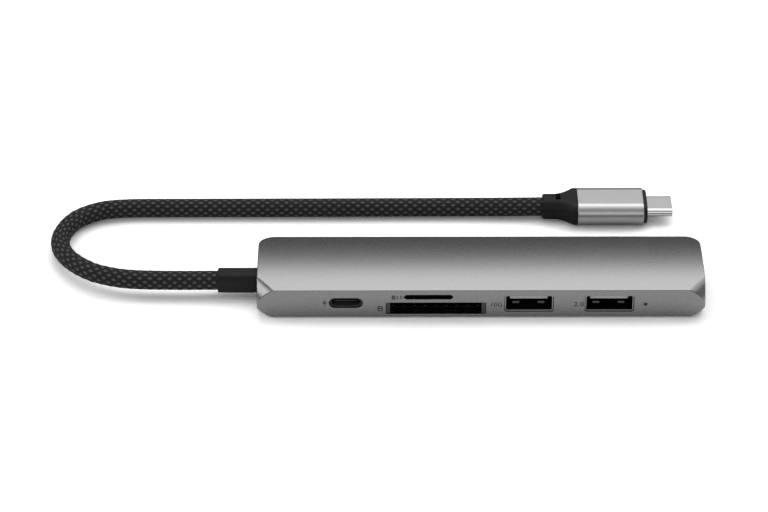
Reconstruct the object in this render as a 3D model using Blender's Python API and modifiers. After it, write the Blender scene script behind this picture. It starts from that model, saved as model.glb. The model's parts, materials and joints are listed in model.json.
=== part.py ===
"""A slim hub in a one-piece metal housing, with a captive braided cable and a reversible plug.

X runs along the hub, -Y is the face with the ports, +Z is up. The origin is on the table under the
middle of the hub. Every size is in metres.
"""

import math

import bmesh
import bpy
from mathutils import Matrix, Vector

MM = 0.001

# Housing
LENGTH = 122.8 * MM
DEPTH = 25.45 * MM
EDGE_HEIGHT = 8.9 * MM  # height of the flat port face
CROWN = 1.0 * MM  # rise of the top from its long edges to its middle
FOOT_LIFT = 0.4 * MM  # gap between the housing and the table
BACK_CORNER_RADIUS = 4.4 * MM
FACET_INSET = 4.75 * MM  # where a front corner facet starts on the top front edge
FACET_RUN = 5.78 * MM  # how far behind the front the facet meets the end
FACET_RADIUS = 7.57 * MM
FACET_START = math.radians(21)
FACET_BREAK = math.radians(58)
UNDER_INSET = 3.97 * MM  # where a facet starts on the lower front edge
UNDER_RADIUS = 6.8 * MM
UNDER_BREAK = math.radians(57.8)
NOSE_HEIGHT = 4.0 * MM  # height of a front corner's nose over the table
WALL = 1.2 * MM
END_WALL = 2.75 * MM
CEILING = 8.3 * MM
CAVITY_RADIUS = 2.0 * MM
GAP = 0.3 * MM
SLIP = 0.12 * MM  # gap of small pieces that slide into each other

# Bottom cover, feet and screws
COVER_THICKNESS = 1.0 * MM
FOOT_SIZE = (5.0 * MM, 19.0 * MM)
FOOT_THICKNESS = 0.6 * MM
FOOT_X = 54.5 * MM
POCKET_TOP = 0.9 * MM
BOSS_RADIUS = 2.0 * MM
BOSS_Y = 7.0 * MM
BOSS_FOOT = 1.7 * MM
SCREW_RADIUS = 0.75 * MM
SCREW_HEAD_RADIUS = 1.35 * MM
SCREW_HEAD_HEIGHT = 0.5 * MM
SCREW_LENGTH = 4.2 * MM

# Main board
BOARD_BOTTOM = 5.4 * MM
BOARD_THICKNESS = 0.8 * MM
BOARD_LEFT = -50.0 * MM
BOARD_RIGHT = 50.5 * MM
BOARD_HALF_DEPTH = 10.9 * MM
BOARD_SCREW_X = (-47.2 * MM, 48.0 * MM)
BOARD_SCREW_Y = 8.6 * MM

# Ports on the front: centre along X, centre height, width and height of the opening
POWER_PORT = (-37.0 * MM, 5.1 * MM, 9.2 * MM, 3.3 * MM)
SMALL_CARD = (-14.4 * MM, 7.08 * MM, 13.8 * MM, 1.45 * MM)
LARGE_CARD = (-12.36 * MM, 3.26 * MM, 27.4 * MM, 3.84 * MM)
DATA_PORTS = ((13.1 * MM, 4.77 * MM, 13.4 * MM, 5.45 * MM), (35.1 * MM, 4.77 * MM, 13.4 * MM, 5.45 * MM))
VIDEO_PORT = (-36.5 * MM, 4.77 * MM, 15.3 * MM, 5.75 * MM)  # on the back
LIGHT = (45.0 * MM, 4.6 * MM)
LIGHT_RADIUS = 0.36 * MM
PORT_RECESS = 0.4 * MM  # metal port shells stand this far behind the face
SHEET = 0.35 * MM  # thickness of the port shells
DATA_PORT_LENGTH = 13.0 * MM
POWER_PORT_LENGTH = 8.5 * MM
VIDEO_PORT_LENGTH = 10.9 * MM

# Cable, strain relief and plug
CABLE_RADIUS = 2.65 * MM
EXIT_Y = -1.62 * MM
EXIT_HEIGHT = 4.77 * MM
RELIEF_SIZE = 6.07 * MM
RELIEF_RADIUS = 2.0 * MM
RELIEF_END = -72.4 * MM
PLUG_Y = 35.62 * MM
PLUG_HEIGHT = 3.4 * MM
BOOT_START = 18.8 * MM
SHELL_START = 28.7 * MM
SHELL_END = 47.5 * MM
NOSE_END = 48.6 * MM
TIP_END = 55.75 * MM
SHELL_SECTION = (13.2 * MM, 6.8 * MM, 3.2 * MM)  # width, thickness, corner radius
TIP_SECTION = (8.25 * MM, 2.4 * MM)

# Points that the middle of the cable passes, from the strain relief to the plug
CABLE_ROUTE = [
    (-72.7 * MM, -1.62 * MM, 4.77 * MM),
    (-79 * MM, -1.62 * MM, 4.74 * MM),
    (-86 * MM, -1.60 * MM, 4.75 * MM),
    (-92 * MM, -1.47 * MM, 4.78 * MM),
    (-96.6 * MM, -1.12 * MM, 4.78 * MM),
    (-99.5 * MM, -0.57 * MM, 4.74 * MM),
    (-102.65 * MM, 0.41 * MM, 4.66 * MM),
    (-106.7 * MM, 2.28 * MM, 4.46 * MM),
    (-109.05 * MM, 3.90 * MM, 4.39 * MM),
    (-111.85 * MM, 6.33 * MM, 4.29 * MM),
    (-114.72 * MM, 9.78 * MM, 4.17 * MM),
    (-117 * MM, 14.53 * MM, 3.92 * MM),
    (-117.6 * MM, 19.78 * MM, 3.62 * MM),
    (-116.5 * MM, 24.83 * MM, 3.33 * MM),
    (-114.6 * MM, 28.85 * MM, 3.08 * MM),
    (-112.1 * MM, 31.6 * MM, 2.94 * MM),
    (-107.45 * MM, 34.4 * MM, 2.82 * MM),
    (-103.4 * MM, 35.42 * MM, 2.76 * MM),
    (-100.1 * MM, 35.76 * MM, 2.73 * MM),
    (-96 * MM, 35.97 * MM, 2.72 * MM),
    (-84 * MM, 36.01 * MM, 2.71 * MM),
    (-66 * MM, 36.06 * MM, 2.71 * MM),
    (-48 * MM, 36.11 * MM, 2.71 * MM),
    (-30 * MM, 36.18 * MM, 2.72 * MM),
    (-14 * MM, 36.22 * MM, 2.75 * MM),
    (-2 * MM, 36.16 * MM, 2.84 * MM),
    (8 * MM, 35.98 * MM, 3 * MM),
    (18.5 * MM, 35.75 * MM, 3.29 * MM),
]
CABLE_STEPS = 2  # points laid between two route points

HALF_LENGTH = LENGTH / 2
HALF_DEPTH = DEPTH / 2
BOTTOM = FOOT_LIFT
EDGE_TOP = BOTTOM + EDGE_HEIGHT
CAVITY_HALF_LENGTH = HALF_LENGTH - END_WALL
CAVITY_HALF_DEPTH = HALF_DEPTH - WALL
COVER_TOP = BOTTOM + COVER_THICKNESS
BOARD_TOP = BOARD_BOTTOM + BOARD_THICKNESS
PORT_FRONT = -HALF_DEPTH + PORT_RECESS
OUT = 2.0 * MM  # how far a cutter reaches past what it cuts


# Scene, materials and modelling helpers


def new_collection(name):
    collection = bpy.data.collections.new(name)
    bpy.context.scene.collection.children.link(collection)
    return collection


def new_material(name, color, roughness, metallic=0.0):
    material = bpy.data.materials.new(name)
    material.use_nodes = True
    shader = material.node_tree.nodes["Principled BSDF"]
    shader.inputs["Base Color"].default_value = (*color, 1.0)
    shader.inputs["Roughness"].default_value = roughness
    shader.inputs["Metallic"].default_value = metallic
    material.diffuse_color = (*color, 1.0)
    return material


def add_part(name, mesh, material, location=(0, 0, 0)):
    """Puts a mesh in the scene as a sub-part, under the hub's empty."""
    part = bpy.data.objects.new(name, mesh)
    if not mesh.materials:
        mesh.materials.append(material)
    mesh.shade_smooth()
    mesh.set_sharp_from_angle(angle=math.radians(30))
    part.location = location
    part.parent = HUB
    PARTS.objects.link(part)
    return part


def apply_boolean(part, operation, mesh):
    """Combines a part with a helper mesh, which stays out of the render."""
    helper = bpy.data.objects.new(f"{part.name}_{operation.lower()}", mesh)
    helper.hide_render = True
    helper.display_type = "WIRE"
    helper.location = part.location
    CUTTERS.objects.link(helper)
    modifier = part.modifiers.new(operation.capitalize(), "BOOLEAN")
    modifier.operation = operation
    modifier.object = helper
    return helper


def cut(part, mesh):
    return apply_boolean(part, "DIFFERENCE", mesh)


def join(part, mesh):
    return apply_boolean(part, "UNION", mesh)


def mesh_of(name, shape):
    """The mesh of a bmesh, with its faces pointing out."""
    bmesh.ops.recalc_face_normals(shape, faces=shape.faces)
    mesh = bpy.data.meshes.new(name)
    shape.to_mesh(mesh)
    shape.free()
    return mesh


def box(low, high):
    shape = bmesh.new()
    low, high = Vector(low), Vector(high)
    place = Matrix.Translation((low + high) / 2) @ Matrix.Diagonal((*(high - low), 1))
    bmesh.ops.create_cube(shape, size=1, matrix=place)
    return mesh_of("box", shape)


AXES = {
    "X": Matrix(((0, 0, 1, 0), (1, 0, 0, 0), (0, 1, 0, 0), (0, 0, 0, 1))),
    "Y": Matrix(((1, 0, 0, 0), (0, 0, -1, 0), (0, 1, 0, 0), (0, 0, 0, 1))),
    "Z": Matrix.Identity(4),
}


def along(axis, distance):
    return Matrix.Translation([distance if name == axis else 0 for name in "XYZ"])


def rod(axis, centre, start, end, start_radius, end_radius=None, sides=16):
    """A cylinder or cone from start to end along an axis; centre gives its place across it."""
    shape = bmesh.new()
    place = along(axis, (start + end) / 2) @ AXES[axis] @ Matrix.Translation((*centre, 0))
    radii = (start_radius, start_radius if end_radius is None else end_radius)
    if axis == "Y":
        radii = radii[::-1]
    bmesh.ops.create_cone(
        shape, cap_ends=True, segments=sides, radius1=radii[0], radius2=radii[1], depth=end - start, matrix=place
    )
    return mesh_of("rod", shape)


def extrusion(outlines, axis, start, end):
    """A flat outline, or an outline with a hole in it, drawn out along an axis.

    Across X an outline is (y, z), across Y it is (x, z), and across Z it is (x, y).
    """
    curve = bpy.data.curves.new("outline", "CURVE")
    curve.dimensions = "2D"
    curve.fill_mode = "BOTH"
    curve.extrude = (end - start) / 2
    for outline in outlines:
        spline = curve.splines.new("POLY")
        spline.points.add(len(outline) - 1)
        for point, (u, v) in zip(spline.points, outline):
            point.co = (u, v, 0, 1)
        spline.use_cyclic_u = True
    flat = bpy.data.objects.new("outline", curve)
    bpy.context.scene.collection.objects.link(flat)
    graph = bpy.context.evaluated_depsgraph_get()
    mesh = bpy.data.meshes.new_from_object(flat.evaluated_get(graph))
    bpy.data.objects.remove(flat)
    bpy.data.curves.remove(curve)
    shape = bmesh.new()
    shape.from_mesh(mesh)
    bpy.data.meshes.remove(mesh)
    bmesh.ops.remove_doubles(shape, verts=shape.verts, dist=0.001 * MM)
    shape.transform(along(axis, (start + end) / 2) @ AXES[axis])
    return mesh_of("extrusion", shape)


def arc(centre, radius, first, last, steps):
    """Points on a circle between two angles in degrees."""
    angles = [math.radians(first + (last - first) * i / steps) for i in range(steps + 1)]
    return [(centre[0] + radius * math.cos(a), centre[1] + radius * math.sin(a)) for a in angles]


def rounded_rectangle(width, height, radius, centre=(0, 0), steps=4):
    x, y = width / 2 - radius, height / 2 - radius
    corners = ((x, -y, -90), (x, y, 0), (-x, y, 90), (-x, -y, 180))
    points = []
    for dx, dy, first in corners:
        points += arc((centre[0] + dx, centre[1] + dy), radius, first, first + 90, steps)
    return points


def loft(sections):
    """A closed solid along X through rounded rectangles (x, y, z, width, height, radius)."""
    shape = bmesh.new()
    rings = []
    for x, y, z, width, height, radius in sections:
        outline = rounded_rectangle(width, height, radius, (y, z))
        rings.append([shape.verts.new((x, u, v)) for u, v in outline])
    for near, far in zip(rings, rings[1:]):
        for i in range(len(near)):
            shape.faces.new((near[i - 1], near[i], far[i], far[i - 1]))
    shape.faces.new(rings[0])
    shape.faces.new(rings[-1])
    return mesh_of("loft", shape)


def comb(fingers, pitch, width, back, front, spine):
    """Outline of a row of contacts that a spine joins at the back, as (x, y)."""
    points = []
    for i in range(fingers):
        middle = (i - (fingers - 1) / 2) * pitch
        left, right = middle - width / 2, middle + width / 2
        points += [(left, back - spine), (left, front), (right, front), (right, back - spine)]
    return points + [(points[-1][0], back), (points[0][0], back)]


def moved(outline, dx, dy):
    return [(u + dx, v + dy) for u, v in outline]


# Housing


def crown_outline():
    """Section of the crowned bar across X, wider than the housing, which the plan outline trims."""
    radius = (HALF_DEPTH**2 + CROWN**2) / (2 * CROWN)
    reach = math.degrees(math.asin((HALF_DEPTH + OUT / 2) / radius))
    top = arc((0, EDGE_TOP + CROWN - radius), radius, 90 - reach, 90 + reach, 14)
    return [(-HALF_DEPTH - OUT / 2, BOTTOM), (HALF_DEPTH + OUT / 2, BOTTOM)] + top


def plan_outline():
    """The housing from above: square front corners and round back corners."""
    x, y = HALF_LENGTH - BACK_CORNER_RADIUS, HALF_DEPTH - BACK_CORNER_RADIUS
    points = [(-HALF_LENGTH, -HALF_DEPTH), (HALF_LENGTH, -HALF_DEPTH)]
    points += arc((x, y), BACK_CORNER_RADIUS, 0, 90, 7)
    return points + arc((-x, y), BACK_CORNER_RADIUS, 90, 180, 7)


def facet_profile(upper):
    """(inset from the end, drop from the long edge) down a front corner, from outside its edge to its nose."""
    start, radius, last = (FACET_INSET, FACET_RADIUS, FACET_BREAK) if upper else (UNDER_INSET, UNDER_RADIUS, UNDER_BREAK)
    depth = EDGE_TOP - NOSE_HEIGHT if upper else NOSE_HEIGHT - BOTTOM
    centre = (start + radius * math.sin(FACET_START), radius * math.cos(FACET_START))
    over = 5.0 * MM
    points = [(start + over, -over * math.tan(FACET_START))]
    for i in range(8):
        turn = FACET_START + (last - FACET_START) * i / 7
        points.append((centre[0] - radius * math.sin(turn), centre[1] - radius * math.cos(turn)))
    inset, drop = points[-1]
    nose = (depth - drop) / math.cos(last)
    for i in range(1, 4):
        turn = last + (math.pi / 2 - last) * i / 3
        points.append(
            (
                inset - nose * (math.sin(turn) - math.sin(last)),
                drop + nose * (math.cos(last) - math.cos(turn)),
            )
        )
    return points


def facet_cutter(side, upper):
    """What a front corner loses above or below its nose, drawn back and outwards along the crease."""
    outline = []
    for inset, drop in facet_profile(upper):
        outline.append((side * (HALF_LENGTH - inset), EDGE_TOP - drop if upper else BOTTOM + drop))
    far = side * (HALF_LENGTH + 2 * OUT)
    outline += [(far, outline[-1][1]), (far, outline[0][1])]
    mesh = extrusion([outline], "Y", -HALF_DEPTH - OUT, -HALF_DEPTH + 2 * FACET_RUN)
    radius = (HALF_DEPTH**2 + CROWN**2) / (2 * CROWN)
    rise = HALF_DEPTH / radius - FACET_RUN / (2 * radius) if upper else 0
    lean = Matrix.Identity(4)
    lean[0][1] = side * FACET_INSET / FACET_RUN
    lean[2][1] = rise
    front = Matrix.Translation((0, -HALF_DEPTH, 0))
    mesh.transform(front @ lean @ front.inverted())
    return mesh


def slot_outline(width, height):
    """A slot whose two ends come to a blunt point."""
    x, y, taper = width / 2, height / 2, height * 0.6
    return [(-x, 0), (taper - x, -y), (x - taper, -y), (x, 0), (x - taper, y), (taper - x, y)]


def video_outline(width, height):
    """A port outline with square upper and slanted lower corners."""
    x, y, slant = width / 2, height / 2, 1.6 * MM
    return [(slant - x, -y), (x - slant, -y), (x, slant - y), (x, y), (-x, y), (-x, slant - y)]


def front_openings():
    """Outlines (x, z) of the openings in the port face."""
    x, z, width, height = POWER_PORT
    openings = [rounded_rectangle(width, height, height / 2 - 0.01 * MM, (x, z), 5)]
    x, z, width, height = SMALL_CARD
    openings.append(moved(slot_outline(width, height), x, z))
    x, z, width, height = LARGE_CARD
    openings.append(rounded_rectangle(width, height, 0.4 * MM, (x, z), 2))
    for x, z, width, height in DATA_PORTS:
        openings.append(rounded_rectangle(width, height, 0.6 * MM, (x, z), 3))
    openings.append(arc(LIGHT, LIGHT_RADIUS + SLIP, 0, 337.5, 15))
    return openings


def boss_places():
    return [(sx * FOOT_X, sy * BOSS_Y) for sx in (-1, 1) for sy in (-1, 1)]


def upper_housing():
    part = add_part(
        "upper_housing", extrusion([crown_outline()], "X", -HALF_LENGTH - OUT, HALF_LENGTH + OUT), ALUMINIUM
    )
    apply_boolean(part, "INTERSECT", extrusion([plan_outline()], "Z", -OUT, EDGE_TOP + 2 * OUT))
    for side in (-1, 1):
        for upper in (True, False):
            cut(part, facet_cutter(side, upper))
    plan = rounded_rectangle(2 * CAVITY_HALF_LENGTH, 2 * CAVITY_HALF_DEPTH, CAVITY_RADIUS)
    cavity = cut(part, extrusion([plan], "Z", -OUT, CEILING))
    for place in boss_places():
        cut(cavity, rod("Z", place, BOSS_FOOT, CEILING + OUT, BOSS_RADIUS))
        cut(part, rod("Z", place, BOSS_FOOT - OUT, BOSS_FOOT + SCREW_LENGTH, SCREW_RADIUS + SLIP))
    for x in BOARD_SCREW_X:
        place = (x, BOARD_SCREW_Y)
        cut(cavity, rod("Z", place, BOARD_TOP + SLIP, CEILING + OUT, 1.6 * MM))
        cut(part, rod("Z", place, BOARD_TOP - OUT, BOARD_TOP + 2.4 * MM, SCREW_RADIUS + SLIP))
    for outline in front_openings():
        cut(part, extrusion([outline], "Y", -HALF_DEPTH - OUT, -CAVITY_HALF_DEPTH + OUT / 2))
    x, z, width, height = VIDEO_PORT
    back = moved(video_outline(width, height), x, z)
    cut(part, extrusion([back], "Y", CAVITY_HALF_DEPTH - OUT / 2, HALF_DEPTH + OUT))
    size = RELIEF_SIZE + 2 * SLIP
    hole = rounded_rectangle(size, size, RELIEF_RADIUS + SLIP, (EXIT_Y, EXIT_HEIGHT))
    cut(part, extrusion([hole], "X", -HALF_LENGTH - OUT, -CAVITY_HALF_LENGTH + OUT / 2))


def bottom_cover():
    width, depth = 2 * (CAVITY_HALF_LENGTH - GAP), 2 * (CAVITY_HALF_DEPTH - GAP)
    plan = rounded_rectangle(width, depth, CAVITY_RADIUS - GAP)
    part = add_part("bottom_cover", extrusion([plan], "Z", BOTTOM, COVER_TOP), ALUMINIUM)
    for side in (-1, 1):
        pocket = rounded_rectangle(FOOT_SIZE[0] + 2 * SLIP, FOOT_SIZE[1] + 2 * SLIP, 1.5 * MM, (side * FOOT_X, 0))
        cut(part, extrusion([pocket], "Z", -OUT, POCKET_TOP))
    for place in boss_places():
        slope = (SCREW_HEAD_RADIUS - SCREW_RADIUS) / SCREW_HEAD_HEIGHT
        wide = SCREW_HEAD_RADIUS + SLIP + slope * OUT / 4
        narrow = SCREW_RADIUS + SLIP - slope * OUT / 40
        cut(part, rod("Z", place, POCKET_TOP - OUT / 4, COVER_TOP + OUT / 40, wide, narrow))


def feet():
    for name, side in (("foot_left", -1), ("foot_right", 1)):
        plan = rounded_rectangle(*FOOT_SIZE, 1.5 * MM)
        add_part(name, extrusion([plan], "Z", 0, FOOT_THICKNESS), RUBBER, (side * FOOT_X, 0, 0))


def screws():
    """Countersunk screws: four hold the cover, two hold the board up against the ceiling."""
    for i, (x, y) in enumerate(boss_places(), 1):
        head = rod("Z", (0, 0), 0, SCREW_HEAD_HEIGHT, SCREW_HEAD_RADIUS, SCREW_RADIUS)
        part = add_part(f"cover_screw_{i}", head, STEEL, (x, y, POCKET_TOP))
        join(part, rod("Z", (0, 0), SCREW_HEAD_HEIGHT / 2, SCREW_LENGTH, SCREW_RADIUS - SLIP / 4))
    for i, x in enumerate(BOARD_SCREW_X, 1):
        head = rod("Z", (0, 0), -0.7 * MM, 0, SCREW_HEAD_RADIUS)
        part = add_part(f"board_screw_{i}", head, STEEL, (x, BOARD_SCREW_Y, BOARD_BOTTOM - SLIP))
        join(part, rod("Z", (0, 0), -0.3 * MM, 2.9 * MM, SCREW_RADIUS - SLIP / 4))


# Board and what is soldered on it


def board_outline():
    """The main board from above, notched where port shells pass through its plane."""
    front, back, clear = -BOARD_HALF_DEPTH, BOARD_HALF_DEPTH, 2 * GAP
    points = [(BOARD_LEFT, front)]
    notches = [(POWER_PORT, POWER_PORT_LENGTH)]
    notches += [(port, DATA_PORT_LENGTH) for port in DATA_PORTS]
    for (x, _, width, _), length in notches:
        half, deep = width / 2 + GAP, PORT_FRONT + length + clear
        points += [(x - half, front), (x - half, deep), (x + half, deep), (x + half, front)]
    points += [(BOARD_RIGHT, front), (BOARD_RIGHT, back)]
    x, _, width, _ = VIDEO_PORT
    half, deep = width / 2 + GAP, -PORT_FRONT - VIDEO_PORT_LENGTH - clear
    points += [(x + half, back), (x + half, deep), (x - half, deep), (x - half, back)]
    return points + [(BOARD_LEFT, back)]


def main_board():
    part = add_part("main_board", extrusion([board_outline()], "Z", BOARD_BOTTOM, BOARD_TOP), BOARD)
    for x in BOARD_SCREW_X:
        cut(part, rod("Z", (x, BOARD_SCREW_Y), BOARD_BOTTOM - OUT, BOARD_TOP + OUT, SCREW_RADIUS + SLIP))


def on_board(name, place, size, material):
    """A component that sits on the board: place is its middle, size its length, width and height."""
    x, y = place
    length, width, height = size
    low = (-length / 2, -width / 2, 0)
    high = (length / 2, width / 2, height)
    part = add_part(name, box(low, high), material, (x, y, BOARD_TOP + SLIP))
    bevel = part.modifiers.new("Bevel", "BEVEL")
    bevel.width = 0.12 * MM
    bevel.segments = 1
    return part


def components():
    on_board("hub_controller_chip", (24.0 * MM, 6.2 * MM), (6.0 * MM, 6.0 * MM, 0.85 * MM), CHIP)
    on_board("video_chip", (-18.0 * MM, 7.0 * MM), (5.0 * MM, 5.0 * MM, 0.85 * MM), CHIP)
    on_board("card_reader_chip", (-2.5 * MM, -5.0 * MM), (4.0 * MM, 4.0 * MM, 0.85 * MM), CHIP)
    on_board("power_chip", (-46.2 * MM, -5.5 * MM), (4.0 * MM, 4.0 * MM, 0.85 * MM), CHIP)
    on_board("power_inductor", (-24.8 * MM, -6.8 * MM), (4.0 * MM, 4.0 * MM, 1.6 * MM), FERRITE)
    on_board("crystal", (34.0 * MM, 7.0 * MM), (3.2 * MM, 2.5 * MM, 0.8 * MM), STEEL)
    on_board("bulk_capacitor", (2.0 * MM, 7.0 * MM), (3.5 * MM, 2.8 * MM, 1.6 * MM), CAPACITOR)
    pad = box((-2.8 * MM, -2.8 * MM, 0), (2.8 * MM, 2.8 * MM, 0.7 * MM))
    add_part("thermal_pad", pad, PAD, (24.0 * MM, 6.2 * MM, BOARD_TOP + 1.15 * MM))


def status_light():
    x, z = LIGHT
    led = box((-0.8 * MM, 0, -0.5 * MM), (0.8 * MM, 0.8 * MM, 0.5 * MM))
    add_part("status_led", led, LENS, (x, -9.2 * MM, z))
    pipe = rod("Y", (0, 0), -HALF_DEPTH + 0.2 * MM, -9.4 * MM, LIGHT_RADIUS)
    add_part("led_light_pipe", pipe, LENS, (x, 0, z))


# Ports


def tube_port(name, place, outline, start, end, material):
    """A port shell of sheet metal, open at both ends; outline(offset) gives its section."""
    return add_part(name, extrusion([outline(0), outline(-SHEET)], "Y", start, end), material, place)


def power_port():
    x, z, width, height = POWER_PORT

    def section(offset):
        size = (width - 2 * SLIP + 2 * offset, height - 2 * SLIP + 2 * offset)
        return rounded_rectangle(*size, size[1] / 2 - 0.01 * MM, steps=5)

    place, end = (x, 0, z), PORT_FRONT + POWER_PORT_LENGTH
    tube_port("power_port_shell", place, section, PORT_FRONT, end, STEEL)
    block = extrusion([section(-SHEET - SLIP)], "Y", end - 2.0 * MM, end - SLIP)
    part = add_part("power_port_tongue", block, BLACK_PLASTIC, place)
    join(part, box((-3.35 * MM, PORT_FRONT + 0.8 * MM, -0.35 * MM), (3.35 * MM, end - MM, 0.35 * MM)))


def data_ports():
    for i, (x, z, width, height) in enumerate(DATA_PORTS, 1):

        def section(offset):
            size = (width - 2 * SLIP + 2 * offset, height - 2 * SLIP + 2 * offset)
            return rounded_rectangle(*size, 0.5 * MM + offset / 2, steps=3)

        place, end = (x, 0, z), PORT_FRONT + DATA_PORT_LENGTH
        tube_port(f"data_port_{i}_shell", place, section, PORT_FRONT, end, STEEL)
        block = extrusion([section(-SHEET - SLIP)], "Y", end - 3.5 * MM, end - SLIP)
        part = add_part(f"data_port_{i}_tongue", block, GREY_PLASTIC, place)
        tongue_front, low, high = PORT_FRONT + 1.9 * MM, 0.1 * MM, 1.75 * MM
        join(part, box((-5.2 * MM, tongue_front, low), (5.2 * MM, end - 2.0 * MM, high)))
        pins = comb(4, 2.5 * MM, 1.0 * MM, end - 3.7 * MM, tongue_front + 0.8 * MM, 0.5 * MM)
        add_part(f"data_port_{i}_contacts", extrusion([pins], "Z", low - 0.3 * MM, low - SLIP), GOLD, place)


def video_port():
    x, z, width, height = VIDEO_PORT

    def section(offset):
        return video_outline(width - 2 * SLIP + 2 * offset, height - 2 * SLIP + 2 * offset)

    place, start, end = (x, 0, z), -PORT_FRONT - VIDEO_PORT_LENGTH, -PORT_FRONT
    tube_port("video_port_shell", place, section, start, end, STEEL)
    block = extrusion([section(-SHEET - SLIP)], "Y", start + SLIP, start + 3.0 * MM)
    part = add_part("video_port_tongue", block, BLACK_PLASTIC, place)
    join(part, box((-5.6 * MM, start + 2 * MM, 0.1 * MM), (5.6 * MM, end - 1.2 * MM, 1.3 * MM)))


def card_socket(name, port, below, deep, guide, floor, roof, fingers, pitch, reach):
    """A card socket: an open-fronted tray, a sheet cover and a comb of contacts inside."""
    x, _, width, _ = port
    half = width / 2
    front, back = -CAVITY_HALF_DEPTH + GAP, -CAVITY_HALF_DEPTH + GAP + deep
    low, high = below
    tray = box((-half, front, low), (half, back, high - SHEET - SLIP))
    part = add_part(f"{name}_body", tray, BLACK_PLASTIC, (x, 0, 0))
    cut(part, box((guide - half, front - OUT, low + floor), (half - guide, back - 1.5 * MM, high + OUT)))
    add_part(f"{name}_cover", box((-half, front, high - SHEET), (half, back, high)), STEEL, (x, 0, 0))
    pins = comb(fingers, pitch, 0.4 * pitch, back - 1.7 * MM, front + reach, 0.6 * MM)
    thick = min(0.25 * MM, roof)
    contacts = extrusion([pins], "Z", low + floor + SLIP, low + floor + SLIP + thick)
    add_part(f"{name}_contacts", contacts, GOLD, (x, 0, 0))


def card_sockets():
    card_socket(
        "large_card",
        LARGE_CARD,
        (1.6 * MM, 5.2 * MM),
        deep=18.5 * MM,
        guide=1.2 * MM,
        floor=0.5 * MM,
        roof=0.4 * MM,
        fingers=9,
        pitch=2.9 * MM,
        reach=1.3 * MM,
    )
    card_socket(
        "small_card",
        SMALL_CARD,
        (BOARD_TOP + SLIP, 7.95 * MM),
        deep=13.5 * MM,
        guide=1.0 * MM,
        floor=0.3 * MM,
        roof=0.2 * MM,
        fingers=8,
        pitch=1.1 * MM,
        reach=4.7 * MM,
    )


# Cable, strain relief and plug


def smooth_route(route, steps):
    """Points on a Catmull-Rom curve through the route's points."""
    points = [Vector(p) for p in route]
    line = []
    for i in range(len(points) - 1):
        before = points[i - 1] if i else 2 * points[0] - points[1]
        start, end = points[i], points[i + 1]
        after = points[i + 2] if i + 2 < len(points) else 2 * points[-1] - points[-2]
        for k in range(steps):
            t = k / steps
            line.append(
                0.5
                * (
                    2 * start
                    + (end - before) * t
                    + (2 * before - 5 * start + 4 * end - after) * t**2
                    + (3 * start - before - 3 * end + after) * t**3
                )
            )
    return line + [points[-1]]


def wire(name, line, radius, resolution, material):
    """A round cord or wire along a line of points."""
    curve = bpy.data.curves.new(name, "CURVE")
    curve.dimensions = "3D"
    curve.bevel_depth = radius
    curve.bevel_resolution = resolution
    curve.use_fill_caps = True
    spline = curve.splines.new("POLY")
    spline.points.add(len(line) - 1)
    for point, place in zip(spline.points, line):
        point.co = (*place, 1)
    curve.materials.append(material)
    part = bpy.data.objects.new(name, curve)
    part.parent = HUB
    PARTS.objects.link(part)


def cable():
    wire("cable", smooth_route(CABLE_ROUTE, CABLE_STEPS), CABLE_RADIUS, 4, BRAID)
    inside = -CAVITY_HALF_LENGTH + GAP
    flange = (9.0 * MM, 6.4 * MM, 1.8 * MM)
    flange_height = 4.72 * MM
    relief = (RELIEF_SIZE, RELIEF_SIZE, RELIEF_RADIUS)
    tip = (RELIEF_SIZE - 0.6 * MM, RELIEF_SIZE - 0.6 * MM, RELIEF_RADIUS - 0.3 * MM)
    sections = [
        (inside + 1.4 * MM, EXIT_Y, flange_height, *flange),
        (inside, EXIT_Y, flange_height, *flange),
        (inside - 0.02 * MM, EXIT_Y, EXIT_HEIGHT, *relief),
        (RELIEF_END + 0.35 * MM, EXIT_Y, EXIT_HEIGHT, *relief),
        (RELIEF_END, EXIT_Y, EXIT_HEIGHT, *tip),
    ]
    add_part("cable_strain_relief", loft(sections), RUBBER)
    start = inside + 1.4 * MM + SLIP
    rings = [arc((EXIT_Y, flange_height), radius * MM, 0, 345, 23) for radius in (2.2, 1.7)]
    add_part("cable_ferrule", extrusion(rings, "X", start, start + 2.0 * MM), STEEL)
    for i in range(4):
        y, drop = (i - 1.5) * 0.8 * MM, (0.35 * MM, -0.35 * MM)[i % 2]
        land = (i - 1.5) * 1.9 * MM
        height = BOARD_TOP + 0.6 * MM
        route = [
            (start + SLIP, EXIT_Y + y * 0.9, flange_height + drop),
            (start + 2.4 * MM, EXIT_Y + y, flange_height + drop + 0.2 * MM),
            (BOARD_LEFT - 1.6 * MM, (EXIT_Y + y + land) / 2, height - 0.6 * MM),
            (BOARD_LEFT + 0.4 * MM, land, height),
            (BOARD_LEFT + 2.6 * MM, land, height),
        ]
        wire(f"inner_wire_{i + 1}", smooth_route(route, 3), 0.36 * MM, 1, WIRES[i])


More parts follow.
